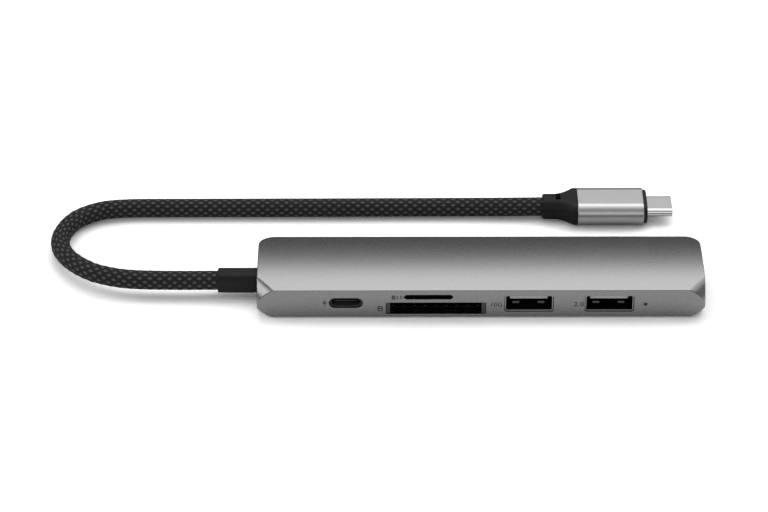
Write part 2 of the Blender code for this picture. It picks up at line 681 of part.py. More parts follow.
def plug():
    width, thick, radius = SHELL_SECTION
    y, z = PLUG_Y, PLUG_HEIGHT
    flare = ((0, 6.6, 6.1, 2.9), (0.4, 7.15, 6.65, 3.1), (3.6, 7.25, 6.7, 3.1), (5.2, 8.1, 6.7, 3.12))
    flare += ((6.6, 10.1, 6.72, 3.15), (7.8, 12.1, 6.75, 3.18), (8.8, 13.0, 6.78, 3.2))
    sections = [(BOOT_START + d * MM, y, z, w * MM, h * MM, r * MM) for d, w, h, r in flare]
    sections.append((SHELL_START - SLIP, y, z, width - 0.1 * MM, thick - 0.05 * MM, radius))
    inner = (width - 2.0 * MM, thick - 2.0 * MM, radius - 1.0 * MM)
    sections.append((SHELL_START - SLIP + 0.02 * MM, y, z, *inner))
    sections.append((SHELL_START + 2.0 * MM, y, z, *inner))
    add_part("plug_boot", loft(sections), RUBBER)
    rings = [
        rounded_rectangle(width, thick, radius, (y, z), 6),
        rounded_rectangle(width - 1.6 * MM, thick - 1.6 * MM, radius - 0.8 * MM, (y, z), 6),
    ]
    add_part("plug_shell", extrusion(rings, "X", SHELL_START, SHELL_END), PLUG_METAL)
    tip = TIP_SECTION
    hole = (tip[0] + 2 * SLIP, tip[1] + 2 * SLIP)
    rings = [
        rounded_rectangle(width - 1.1 * MM, thick - 0.8 * MM, radius - 0.4 * MM, (y, z), 5),
        rounded_rectangle(*hole, hole[1] / 2 - 0.01 * MM, (y, z), 5),
    ]
    add_part("plug_nose_ring", extrusion(rings, "X", SHELL_END + SLIP, NOSE_END), BLACK_PLASTIC)
    inside = (tip[0] - 0.6 * MM, tip[1] - 0.6 * MM)
    rings = [
        rounded_rectangle(*tip, tip[1] / 2 - 0.01 * MM, (y, z), 5),
        rounded_rectangle(*inside, inside[1] / 2 - 0.01 * MM, (y, z), 5),
    ]
    add_part("plug_tip", extrusion(rings, "X", SHELL_END - 1.5 * MM, TIP_END), NICKEL)
    block = (inside[0] - 2 * SLIP, inside[1] - 2 * SLIP)
    rings = [
        rounded_rectangle(*block, block[1] / 2 - 0.01 * MM, (y, z), 4),
        rounded_rectangle(6.7 * MM, 0.72 * MM, 0.1 * MM, (y, z), 1),
    ]
    add_part("plug_tip_insulator", extrusion(rings, "X", SHELL_END - 1.2 * MM, TIP_END - 0.5 * MM), BLACK_PLASTIC)
    board = box((SHELL_START + 2.4 * MM, y - 4.6 * MM, z - 0.4 * MM), (SHELL_END - 1.9 * MM, y + 4.6 * MM, z + 0.4 * MM))
    add_part("plug_board", board, BOARD)


for old in list(bpy.data.objects):
    bpy.data.objects.remove(old, do_unlink=True)

PARTS = new_collection("usb_hub")
CUTTERS = new_collection("cutters")
HUB = bpy.data.objects.new("hub", None)
PARTS.objects.link(HUB)

ALUMINIUM = new_material("grey_anodised", (0.245, 0.245, 0.249), 0.32, 1.0)
PLUG_METAL = new_material("grey_brushed", (0.42, 0.42, 0.43), 0.34, 1.0)
STEEL = new_material("steel", (0.6, 0.6, 0.6), 0.28, 1.0)
NICKEL = new_material("nickel", (0.66, 0.65, 0.64), 0.18, 1.0)
GOLD = new_material("gold_contacts", (0.83, 0.62, 0.27), 0.3, 1.0)
RUBBER = new_material("black_rubber", (0.014, 0.014, 0.015), 0.62)
BLACK_PLASTIC = new_material("black_plastic", (0.02, 0.02, 0.022), 0.45)
GREY_PLASTIC = new_material("grey_plastic", (0.28, 0.28, 0.28), 0.5)
BRAID = new_material("black_braid", (0.016, 0.016, 0.017), 0.75)
BOARD = new_material("board_green", (0.02, 0.09, 0.05), 0.5)
CHIP = new_material("chip_black", (0.025, 0.025, 0.027), 0.55)
FERRITE = new_material("ferrite", (0.06, 0.06, 0.065), 0.6)
CAPACITOR = new_material("capacitor_ochre", (0.55, 0.3, 0.06), 0.5)
PAD = new_material("thermal_pad_grey", (0.45, 0.5, 0.56), 0.8)
LENS = new_material("smoked_lens", (0.03, 0.03, 0.033), 0.3)
WIRE_COLORS = (("red", (0.5, 0.02, 0.02)), ("black", (0.02, 0.02, 0.02)))
WIRE_COLORS += (("green", (0.02, 0.3, 0.06)), ("white", (0.8, 0.8, 0.8)))
WIRES = [new_material(f"wire_{name}", color, 0.4) for name, color in WIRE_COLORS]

upper_housing()
bottom_cover()
feet()
screws()
main_board()
components()
status_light()
power_port()
card_sockets()
data_ports()
video_port()
cable()
plug()
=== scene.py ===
"""Surfaces, finishes, light and camera for a slim metal hub with a braided cable, around its CAD frame.

X runs along the hub, -Y is its port face, +Z is up, and every length is in metres.
"""

import json
import math

import bmesh
import bpy
import numpy as np
from bpy.props import FloatProperty, FloatVectorProperty, IntProperty, PointerProperty
from mathutils import Matrix, Vector
from mathutils.geometry import delaunay_2d_cdt


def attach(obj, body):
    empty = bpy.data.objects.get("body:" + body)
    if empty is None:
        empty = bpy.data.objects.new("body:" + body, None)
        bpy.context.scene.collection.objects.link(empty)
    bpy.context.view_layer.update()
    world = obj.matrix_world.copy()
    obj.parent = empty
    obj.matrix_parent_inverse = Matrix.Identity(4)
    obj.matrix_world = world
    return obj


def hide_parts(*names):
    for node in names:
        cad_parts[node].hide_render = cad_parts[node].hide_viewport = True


bl_info = {
    "name": "Slim hub",
    "version": (1, 0, 0),
    "blender": (4, 5, 0),
    "location": "View3D > Sidebar > Hub",
    "description": "Builds the surfaces and finishes of a slim hub with a braided cable",
    "category": "Object",
}

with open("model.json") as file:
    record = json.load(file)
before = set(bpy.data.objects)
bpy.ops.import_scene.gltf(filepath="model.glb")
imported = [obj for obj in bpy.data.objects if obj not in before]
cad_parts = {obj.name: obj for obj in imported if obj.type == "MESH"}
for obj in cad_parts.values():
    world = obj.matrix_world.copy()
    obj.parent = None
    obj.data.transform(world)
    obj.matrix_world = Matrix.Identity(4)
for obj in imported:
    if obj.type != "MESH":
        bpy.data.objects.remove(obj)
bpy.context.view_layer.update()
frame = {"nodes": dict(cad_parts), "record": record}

MM = 0.001
WELD = 0.002 * MM  # points closer than this are one point
BODY = "root"

# Places on the port face: centre along X, centre height, width and height of each opening
POWER_PORT = (-37.0 * MM, 5.1 * MM, 9.2 * MM, 3.3 * MM)
SMALL_CARD = (-14.4 * MM, 7.08 * MM, 13.8 * MM, 1.45 * MM)
LARGE_CARD = (-12.36 * MM, 3.26 * MM, 27.4 * MM, 3.84 * MM)
DATA_PORTS = ((13.1 * MM, 4.77 * MM, 13.4 * MM, 5.45 * MM), (35.1 * MM, 4.77 * MM, 13.4 * MM, 5.45 * MM))
VIDEO_PORT = (-36.5 * MM, 4.77 * MM, 15.3 * MM, 5.75 * MM)  # on the back
LIGHT_HOLE = (45.0 * MM, 4.6 * MM, 0.95 * MM, 0.95 * MM)
PORT_RECESS = 0.4 * MM
SLIP = 0.12 * MM  # gap between an opening and its sleeve
SHEET = 0.35 * MM  # thickness of a sleeve
DATA_SHEET = 0.28 * MM
SLEEVE_RIM = 0.1 * MM
LINING = (0.02 * MM, 0.1 * MM)  # outside and inside of a lining, measured in from its sleeve
VIDEO_CORNER = 0.35 * MM
MARK_GAP = 0.006 * MM

# Housing
CORE = 50 * MM  # half length of the line inside it that the rays to its skin start from
RAY_REACH = 1.3  # how far past the plain box a ray is followed, in parts of its length
RAY_HALVINGS = 44
BACK_WINDOW = -25 * MM  # where the flat part of the back that holds the video port ends
FACE_MARGIN = 0.6 * MM
CAVITY_CORNER = 2 * MM
LIP_MARGIN = 0.05 * MM  # flat strip round the rounded edge of an opening
EDGE_STEP = (0.36, 0.06)  # width and step of the close points along an edge, in millimetres

# Plug
PLUG_Y = 35.62 * MM
PLUG_Z = 3.4 * MM
BOOT_START = 18.8 * MM
SHELL_START = 28.7 * MM
SHELL_END = 47.5 * MM
NOSE_END = 48.6 * MM
TIP_END = 55.75 * MM
BOOT_LENGTH = 9.88 * MM
BOOT_ROUND, BOOT_RIM = 0.5 * MM, 0.12 * MM  # radius of its edge at the cable and at the shell
NOTCH = (3.74 * MM, 5.13 * MM)  # where the boot's flex notch starts and ends
NOTCH_TURN = (math.radians(68), math.radians(110))
NOTCH_SHARE = 0.5  # how far out the notch's floor is, in parts of the section

# Points that the middle of the cable passes, from inside the strain relief to inside the plug's boot
CABLE_ROUTE = np.array([
    (-70.6, -1.62, 4.77),
    (-72.4, -1.62, 4.77),
    (-79.0, -1.62, 4.74),
    (-86.0, -1.60, 4.75),
    (-92.0, -1.47, 4.78),
    (-96.6, -1.12, 4.78),
    (-99.5, -0.57, 4.74),
    (-102.65, 0.41, 4.66),
    (-106.7, 2.28, 4.46),
    (-109.05, 3.90, 4.39),
    (-111.85, 6.33, 4.29),
    (-114.72, 9.78, 4.17),
    (-117.0, 14.53, 3.92),
    (-117.6, 19.78, 3.62),
    (-116.5, 24.83, 3.33),
    (-114.6, 28.85, 3.08),
    (-112.1, 31.6, 2.94),
    (-107.45, 34.4, 2.82),
    (-103.4, 35.42, 2.76),
    (-100.1, 35.76, 2.73),
    (-96.0, 35.97, 2.72),
    (-84.0, 36.01, 2.71),
    (-66.0, 36.06, 2.71),
    (-48.0, 36.11, 2.71),
    (-30.0, 36.18, 2.72),
    (-14.0, 36.22, 2.75),
    (-2.0, 36.16, 2.84),
    (8.0, 35.98, 3.0),
    (18.5, 35.75, 3.29),
    (22.0, 35.69, 3.36),
]) * MM
CABLE_EXIT = (-72.4 * MM, -1.62 * MM, 4.77 * MM)
CABLE_ROWS, CABLE_COLUMNS = 1150, 80
ROUTE_STEPS = 40


# Settings


def length(name, description, millimetres):
    metres = millimetres * MM
    return FloatProperty(name=name, description=description, default=metres, unit="LENGTH", precision=5)


def angle(name, description, degrees):
    return FloatProperty(name=name, description=description, default=math.radians(degrees), subtype="ANGLE")


def color(name, description, value):
    limits = {"min": 0, "max": 1}
    return FloatVectorProperty(name=name, description=description, default=value, subtype="COLOR", **limits)


def brightness(name, description, value):
    return FloatProperty(name=name, description=description, default=value, min=0)


class HousingSizes(bpy.types.PropertyGroup):
    """Sizes of the metal housing."""

    long: length("Length", "Length of the housing", 122.8)
    deep: length("Depth", "Depth of the housing from the port face to the back", 25.45)
    edge: length("Edge height", "Height of the flat port face", 8.9)
    crown: length("Crown", "Rise of the top from its long edges to its middle", 1.0)
    lift: length("Lift", "Gap between the housing and the table", 0.4)
    back_corner: length("Back corner", "Radius of the upright back corners", 4.55)
    facet_inset: length("Facet inset", "Where a front corner facet starts on the front edge", 4.75)
    facet_run: length("Facet run", "How far behind the front a facet meets the end", 5.78)
    facet_radius: length("Facet radius", "Radius of a facet's face", 7.57)
    facet_start: angle("Facet start", "Slope of a facet at its crease", 21)
    facet_break: angle("Facet break", "Slope where a facet turns into its nose", 58)
    nose_height: length("Nose height", "Height of a front corner's nose over the table", 4.0)
    under_inset: length("Lower inset", "Where a facet starts on the lower front edge", 3.97)
    under_radius: length("Lower radius", "Radius of a facet's lower face", 6.8)
    under_break: angle("Lower break", "Slope where a facet's lower face turns into its nose", 57.8)
    edge_round: length("Edge rounding", "Radius of the housing's edges", 0.2)
    crease_round: length("Crease rounding", "Radius of the facets' creases", 0.07)
    lip_round: length("Lip rounding", "Radius of the edges of the openings", 0.14)
    wall: length("Wall", "Thickness of the long walls", 1.2)
    end_wall: length("End wall", "Thickness of the end walls", 2.75)
    ceiling: length("Ceiling", "Height of the cavity's ceiling", 8.3)
    cable_hole: length("Cable hole", "Width and height of the strain relief's hole", 6.3)
    hole_corner: length("Hole corner", "Corner radius of the strain relief's hole", 2.12)


class CableSizes(bpy.types.PropertyGroup):
    """Sizes of the braided cable and the sleeve that it leaves the housing by."""

    diameter: length("Diameter", "Outer diameter of the braid", 5.4)
    repeat: length("Braid repeat", "Distance along the cable between two flecks of a row", 2.72)
    rows: IntProperty(name="Rows", description="Rows of flecks round the cable", default=16, min=4)
    relief: length("Yarn relief", "Height of a yarn over the hollows beside it", 0.17)
    sleeve: length("Sleeve size", "Width and height of the strain relief", 6.07)
    sleeve_corner: length("Sleeve corner", "Corner radius of the strain relief", 2.0)


class Finishes(bpy.types.PropertyGroup):
    """Colours of the finishes."""

    housing: color("Housing", "Bead-blasted grey metal", (0.245, 0.245, 0.249))
    plug: color("Plug", "Brushed grey metal", (0.51, 0.51, 0.514))
    rubber: color("Rubber", "Boot, strain relief and feet", (0.008, 0.008, 0.0085))
    braid: color("Braid", "Yarn of the cable", (0.032, 0.032, 0.0325))
    fleck: color("Fleck", "Grey flecks in the braid", (0.105, 0.105, 0.108))
    mark: color("Marks", "Printed signs beside the ports", (0.036, 0.036, 0.0365))


class StageSettings(bpy.types.PropertyGroup):
    """Camera, lamps and floor."""

    camera_angle: angle("Camera angle", "Height of the camera above the horizon", 36)
    camera_turn: angle("Camera turn", "Turn of the camera to the right of the port face", -0.117)
    camera_distance: length("Camera distance", "Distance of the camera from what it aims at", 865)
    aim_x: length("Aim along X", "Where the camera aims along the hub", -26.54)
    aim_y: length("Aim along Y", "Where the camera aims across the hub", -0.22)
    aim_z: length("Aim height", "Height that the camera aims at", 11.96)
    focal: FloatProperty(name="Lens", description="Focal length in millimetres", default=147.3, min=1)
    panel: brightness("Panel", "Brightness of the main panel overhead", 2.44)
    strip: brightness("Strip", "Brightness of the panel on the left", 2.5)
    front: brightness("Front", "Brightness of the panel in front", 0.88)
    ambient: brightness("Ambient", "Brightness of the room", 0.155)
    floor: color("Floor", "Floor colour", (0.8, 0.8, 0.8))


# Shapes: outlines, grids and the shells that hold them


def convex_outline(corners, radius, offset=0.0, steps=6):
    """Closed outline of a convex polygon with round corners, moved out by an offset.

    Each corner is an arc of radius + offset about the point that lies radius inside both of its
    sides, from the normal of one side to the normal of the next.
    """
    corner = np.asarray(corners, float)
    side = np.roll(corner, -1, axis=0) - corner
    normal = np.stack([side[:, 1], -side[:, 0]], -1)
    normal /= np.linalg.norm(normal, axis=1)[:, None]
    reach = (normal * corner).sum(1) - radius
    before = np.roll(normal, 1, axis=0)
    pairs = np.stack([before, normal], 1)
    centre = np.linalg.solve(pairs, np.stack([np.roll(reach, 1), reach], -1)[..., None])[..., 0]
    first = np.arctan2(before[:, 1], before[:, 0])
    bend = (np.arctan2(normal[:, 1], normal[:, 0]) - first) % (2 * np.pi)
    turn = first[:, None] + bend[:, None] * np.linspace(0, 1, steps + 1)
    arc = np.stack([np.cos(turn), np.sin(turn)], -1) * (radius + offset)
    return (centre[:, None] + arc).reshape(-1, 2)


def rectangle(width, height, centre=(0.0, 0.0)):
    half = np.array([(-1, -1), (1, -1), (1, 1), (-1, 1)]) * (width / 2, height / 2)
    return half + centre


def pointed_slot(width, height, centre):
    """Corners of a slot whose two ends come to a blunt point."""
    x, z, taper = width / 2, height / 2, height * 0.6
    points = [(-x, 0), (taper - x, -z), (x - taper, -z), (x, 0), (x - taper, z), (taper - x, z)]
    return np.array(points) + centre


def slanted_port(width, height, centre):
    """Corners of a port with square upper and slanted lower corners."""
    x, z, slant = width / 2, height / 2, 1.6 * MM
    points = [(slant - x, -z), (x - slant, -z), (x, slant - z), (x, z), (-x, z), (-x, slant - z)]
    return np.array(points) + centre


AXIS_ORDER = {"X": (0, 1, 2), "Y": (1, 0, 2), "Z": (2, 0, 1)}


def set_along(axis, along, rings):
    """Rings of flat points (rows, columns, 2), each set at its own distance along an axis."""
    main, first, second = AXIS_ORDER[axis]
    points = np.empty((*rings.shape[:2], 3))
    points[..., main] = np.asarray(along)[:, None]
    points[..., first] = rings[..., 0]
    points[..., second] = rings[..., 1]
    return points


def rounded_loft(axis, along, width, height, radius, centre, steps=8):
    """Rounded rectangles of changing size along an axis: corner centres plus quarter circles.

    A point on the straight side just past each end of a quarter circle keeps that side's shading flat.
    """
    along, width, height, radius = np.broadcast_arrays(*np.atleast_1d(along, width, height, radius))
    quarter = np.linspace(0, np.pi / 2, steps + 1)
    quarter = np.concatenate([quarter[:1], quarter, quarter[-1:]])
    shift = np.zeros(steps + 3)
    shift[[0, -1]] = -1, 1
    turn = np.concatenate([quarter + k * np.pi / 2 for k in (-1, 0, 1, 2)])
    corner = np.repeat([(1, -1), (1, 1), (-1, 1), (-1, -1)], steps + 3, axis=0)
    half = np.stack([width / 2 - radius, height / 2 - radius], -1)
    arc = np.stack([np.cos(turn), np.sin(turn)], -1)
    ahead = np.stack([-np.sin(turn), np.cos(turn)], -1) * np.tile(shift, 4)[:, None]
    guard = np.clip(half / 2, 0, 0.15 * MM)
    rings = corner * half[:, None] + radius[:, None, None] * arc + ahead * guard[:, None] + np.asarray(centre)
    return set_along(axis, along, rings)


def round_ends(start, end, radius, steps=6):
    """(distance, inset) along a bar whose two ends are rounded by quarter circles."""
    turn = np.linspace(0, np.pi / 2, steps + 1)
    rise = np.append(radius * (1 - np.cos(turn)), 1.5 * radius)
    inset = np.append(radius * (1 - np.sin(turn)), 0)
    return np.concatenate([start + rise, end - rise[::-1]]), np.concatenate([inset, inset[::-1]])


def grid_faces(rows, columns, close_rows=False):
    """Four-sided faces of a grid of rings that is stored ring by ring."""
    row = np.arange(rows if close_rows else rows - 1)
    row, column = np.meshgrid(row, np.arange(columns), indexing="ij")
    below, beside = (row + 1) % rows, (column + 1) % columns
    corners = ((row, column), (row, beside), (below, beside), (below, column))
    return np.stack([r * columns + c for r, c in corners], -1).reshape(-1, 4)


def clean(mesh, weld=True):
    """Welds the doubles of a mesh where asked, and points its faces outwards."""
    shape = bmesh.new()
    shape.from_mesh(mesh)
    if weld:
        bmesh.ops.remove_doubles(shape, verts=shape.verts, dist=WELD)
    bmesh.ops.recalc_face_normals(shape, faces=shape.faces)
    shape.to_mesh(mesh)
    shape.free()
    return mesh


class Shell:
    """Patches of one piece, which are welded into one mesh."""

    def __init__(self):
        self.points, self.faces, self.count = [], [], 0

    def add(self, points, faces):
        points = np.asarray(points, float).reshape(-1, 3)
        self.points.append(points)
        self.faces += (np.asarray(faces) + self.count).tolist()
        self.count += len(points)
        return self

    def grid(self, points, close_rows=False):
        return self.add(points, grid_faces(*points.shape[:2], close_rows))

    def cap(self, loop):
        return self.add(loop, [list(range(len(loop)))])

    def solid(self, points):
        """A grid of rings with both of its ends closed."""
        return self.grid(points).cap(points[0]).cap(points[-1])

    def mesh(self, name):
        mesh = bpy.data.meshes.new(name)
        mesh.from_pydata(np.concatenate(self.points).tolist(), [], self.faces)
        return clean(mesh)


def add_piece(name, shape, finish, slot, *nodes, sharp=40):
    """Puts a shell or mesh in the scene as a piece that rides with the hub and stands for CAD nodes."""
    mesh = shape.mesh(name) if isinstance(shape, Shell) else shape
    piece = bpy.data.objects.new(name, mesh)
    bpy.context.scene.collection.objects.link(piece)
    mesh.materials.clear()
    mesh.materials.append(finish_of(finish))
    mesh.shade_smooth()
    mesh.set_sharp_from_angle(angle=math.radians(sharp))
    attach(piece, BODY)
    if nodes:
        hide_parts(*nodes)
    return piece


def flat_fill(border, loops, axes):
    """Triangles that fill a flat border of edges, less the loops inside it.

    The border and the loops constrain a Delaunay triangulation, and a triangle stays where a line
    from a place inside it crosses them an odd number of times.
    """
    parts = [border.reshape(-1, 3), *loops]
    count = len(parts[0])
    edges = [np.arange(count).reshape(-1, 2)]
    for loop in loops:
        index = np.arange(len(loop))
        edges.append(np.stack([index, np.roll(index, -1)], -1) + count)
        count += len(loop)
    points, edges = np.concatenate(parts), np.concatenate(edges)
    flat = points[:, axes] / MM
    made, _, faces, *_ = delaunay_2d_cdt([Vector(p) for p in flat], edges.tolist(), [], 0, 1e-5)
    made, faces = np.array([tuple(p) for p in made]), np.array(faces)
    middle = (made[faces] * ((0.5,), (0.3,), (0.2,))).sum(1)
    start, end = flat[edges[:, 0]], flat[edges[:, 1]]
    spans = (start[:, 1] > middle[:, 1, None]) != (end[:, 1] > middle[:, 1, None])
    rise = np.where(end[:, 1] == start[:, 1], 1, end[:, 1] - start[:, 1])
    cross = start[:, 0] + (middle[:, 1, None] - start[:, 1]) / rise * (end[:, 0] - start[:, 0])
    inside = (spans & (middle[:, 0, None] < cross)).sum(1) % 2 == 1
    level = 3 - sum(axes)
    full = np.empty((len(made), 3))
    full[:, axes] = made * MM
    full[:, level] = points[0, level]
    return full, faces[inside]


def ladder(*spans):
    """Distances from 0 in steps that change from span to span.

    Each span is (where it ends, step), in millimetres.
    """
    parts, start = [np.zeros(1)], 0.0
    for end, step in spans:
        parts.append(np.linspace(start, end, max(1, round((end - start) / step)) + 1)[1:])
        start = end
    return np.concatenate(parts) * MM


# Finishes


BUMP_DEPTH = 0.03 * MM
MADE = {}


def feed(tree, target, inputs):
    """Sets the inputs of a node to values, or links them to the sockets that feed them."""
    for key, value in inputs.items():
        if isinstance(value, bpy.types.NodeSocket):
            tree.links.new(value, target.inputs[key])
        else:
            target.inputs[key].default_value = value


def node(tree, kind, inputs=(), **settings):
    """A shader node with its settings and inputs."""
    made = tree.nodes.new("ShaderNode" + kind)
    for key, value in settings.items():
        setattr(made, key, value)
    feed(tree, made, dict(inputs))
    return made


def calc(tree, operation, *values):
    return node(tree, "Math", dict(enumerate(values)), operation=operation).outputs[0]


def ramp(tree, value, low, high, to_low=0.0, to_high=1.0):
    """Smooth step of a value from low to high."""
    inputs = {"Value": value, "From Min": low, "From Max": high, "To Min": to_low, "To Max": to_high}
    return node(tree, "MapRange", inputs, interpolation_type="SMOOTHSTEP").outputs[0]


def tinted(tree, shade, factor):
    """A colour made lighter or darker by a factor."""
    return node(tree, "VectorMath", {0: shade, "Scale": factor}, operation="SCALE").outputs[0]


def mixed(tree, factor, first, second):
    return node(tree, "Mix", {0: factor, 6: first, 7: second}, data_type="RGBA").outputs[2]


def object_place(tree):
    return node(tree, "TexCoord").outputs["Object"]


def noise(tree, place, scale, detail):
    return node(tree, "TexNoise", {"Vector": place, "Scale": scale, "Detail": detail}).outputs["Fac"]


def bumped(tree, height, strength):
    inputs = {"Height": height, "Strength": strength, "Distance": BUMP_DEPTH}
    return node(tree, "Bump", inputs).outputs[0]


def new_group(name, inputs, outputs):
    """An empty node group, with the sockets that feed it and that it fills."""
    tree = bpy.data.node_groups.new(name, "ShaderNodeTree")
    for label, kind, default in inputs:
        socket = tree.interface.new_socket(label, in_out="INPUT", socket_type="NodeSocket" + kind)
        socket.default_value = default
    for label, kind in outputs:
        tree.interface.new_socket(label, in_out="OUTPUT", socket_type="NodeSocket" + kind)
    return tree, tree.nodes.new("NodeGroupInput").outputs, tree.nodes.new("NodeGroupOutput")


def grain_group(name):
    """Fine grain and slow cloudiness: noise on two scales that shades colour, roughness and height."""
    inputs = [
        ("Vector", "Vector", (0, 0, 0)),
        ("Color", "Color", (0.5, 0.5, 0.5, 1)),
        ("Roughness", "Float", 0.4),
        ("Scale", "Float", 4000.0),
        ("Tone", "Float", 0.1),
        ("Rough Change", "Float", 0.05),
    ]
    outputs = [("Color", "Color"), ("Roughness", "Float"), ("Height", "Float")]
    tree, given, filled = new_group(name, inputs, outputs)
    fine = noise(tree, given["Vector"], given["Scale"], 2.0)
    broad = noise(tree, given["Vector"], calc(tree, "MULTIPLY", given["Scale"], 0.03), 3.0)
    fine_part = calc(tree, "SUBTRACT", fine, 0.5)
    broad_part = calc(tree, "MULTIPLY", calc(tree, "SUBTRACT", broad, 0.5), 0.35)
    both = calc(tree, "ADD", fine_part, broad_part)
    tone = calc(tree, "MULTIPLY_ADD", both, given["Tone"], 1.0)
    rough = calc(tree, "MULTIPLY_ADD", both, given["Rough Change"], given["Roughness"])
    feed(tree, filled, {"Color": tinted(tree, given["Color"], tone), "Roughness": rough, "Height": fine})
    return tree


def weave_group(name):
    """The braid on its UV map: u counts repeats along the cable, v counts rows of flecks round it.

    p = u + v/2 and q = u - v/2 count the yarns of the two directions. The floors of p and q give the
    diamond that a point lies in, their sum's parity says which yarn is on top, and the fractions
    give the place along and across that yarn.
    """
    outputs = [("Fleck", "Float"), ("Shade", "Float"), ("Height", "Float")]
    tree, given, filled = new_group(name, [("UV", "Vector", (0, 0, 0))], outputs)
    uv = node(tree, "SeparateXYZ", {0: given["UV"]}).outputs
    half = calc(tree, "MULTIPLY", uv[1], 0.5)
    counts = calc(tree, "ADD", uv[0], half), calc(tree, "SUBTRACT", uv[0], half)
    cells = [calc(tree, "FLOOR", count) for count in counts]
    places = [calc(tree, "SUBTRACT", calc(tree, "FRACT", count), 0.5) for count in counts]
    parity = calc(tree, "PINGPONG", calc(tree, "ADD", *cells), 1.0)
    other = calc(tree, "SUBTRACT", 1.0, parity)
    across, along = (
        calc(tree, "ADD", calc(tree, "MULTIPLY", a, parity), calc(tree, "MULTIPLY", b, other))
        for a, b in (places, places[::-1])
    )
    length_part = calc(tree, "MULTIPLY", calc(tree, "ADD", *places), 2.35)
    width_part = calc(tree, "MULTIPLY", calc(tree, "SUBTRACT", *places), 3.4)
    squares = calc(tree, "POWER", length_part, 2.0), calc(tree, "POWER", width_part, 2.0)
    away = calc(tree, "SQRT", calc(tree, "ADD", *squares))
    edge = calc(tree, "MAXIMUM", calc(tree, "ABSOLUTE", across), calc(tree, "ABSOLUTE", along))
    fibres = calc(tree, "SINE", calc(tree, "MULTIPLY", across, 44.0))
    feed(tree, filled, {
        "Fleck": ramp(tree, away, 1.25, 0.55),
        "Shade": ramp(tree, edge, 0.5, 0.2, 0.45, 1.0),
        "Height": calc(tree, "MULTIPLY_ADD", fibres, 0.5, 0.5),
    })
    return tree


def rgba(value):
    return (*value, 1.0)


def once(name, maker, *values):
    """What the maker makes from a name and values; it is made on first use and kept by its name."""
    if name not in MADE:
        MADE[name] = maker(name, *values)
    return MADE[name]


def blank(name, shade):
    """A new material, with its node tree and its shader."""
    material = bpy.data.materials.new(name)
    material.use_nodes = True
    material.diffuse_color = rgba(shade)
    return material, material.node_tree, material.node_tree.nodes["Principled BSDF"]


def grained(name, shade, roughness, metallic, scale, tone, rough, bump, stretch=None, specular=0.5):
    """A finish with grain: stretch scales the pattern along X, Y and Z, as on a brushed face."""
    material, tree, shader = blank(name, shade)
    place = object_place(tree)
    if stretch:
        place = node(tree, "Mapping", {"Vector": place, "Scale": stretch}).outputs[0]
    inputs = {"Vector": place, "Color": rgba(shade), "Roughness": roughness}
    inputs |= {"Scale": scale, "Tone": tone, "Rough Change": rough}
    grain = node(tree, "Group", inputs, node_tree=once("surface_grain", grain_group)).outputs
    feed(tree, shader, {
        "Base Color": grain["Color"],
        "Roughness": grain["Roughness"],
        "Normal": bumped(tree, grain["Height"], bump),
        "Metallic": metallic,
        "Specular IOR Level": specular,
    })
    return material


def solder_mask(name):
    """Solder mask with rows of copper tracks under it, drawn by waves on Object coordinates."""
    material = grained(name, (0.02, 0.09, 0.05), 0.38, 0, 2500, 0.2, 0.1, 0.05)
    tree = material.node_tree
    shader = tree.nodes["Principled BSDF"]
    inputs = {"Vector": object_place(tree), "Scale": 320.0, "Distortion": 6.0, "Detail": 0.0}
    track = ramp(tree, node(tree, "TexWave", inputs).outputs["Fac"], 0.7, 0.85)
    plain = shader.inputs["Base Color"].links[0].from_socket
    feed(tree, shader, {"Base Color": mixed(tree, track, plain, (0.045, 0.17, 0.07, 1))})
    return material


def black_braid(name):
    """Black yarn with grey flecks; the UV map drives the flecks, the hollows' shade and the fibres."""
    colors = bpy.context.scene.hub_finishes
    material, tree, shader = blank(name, colors.braid)
    uv = node(tree, "UVMap", uv_map="braid").outputs[0]
    weave = node(tree, "Group", {"UV": uv}, node_tree=once("braid_weave", weave_group)).outputs
    fuzz = noise(tree, object_place(tree), 5000.0, 3.0)
    shade = calc(tree, "MULTIPLY", weave["Shade"], calc(tree, "MULTIPLY_ADD", fuzz, 0.8, 0.6))
    dark = tinted(tree, tuple(colors.braid), shade)
    feed(tree, shader, {
        "Base Color": mixed(tree, weave["Fleck"], dark, rgba(colors.fleck)),
        "Roughness": calc(tree, "MULTIPLY_ADD", fuzz, 0.2, 0.55),
        "Normal": bumped(tree, weave["Height"], 0.5),
        "Specular IOR Level": 0.15,
    })
    return material


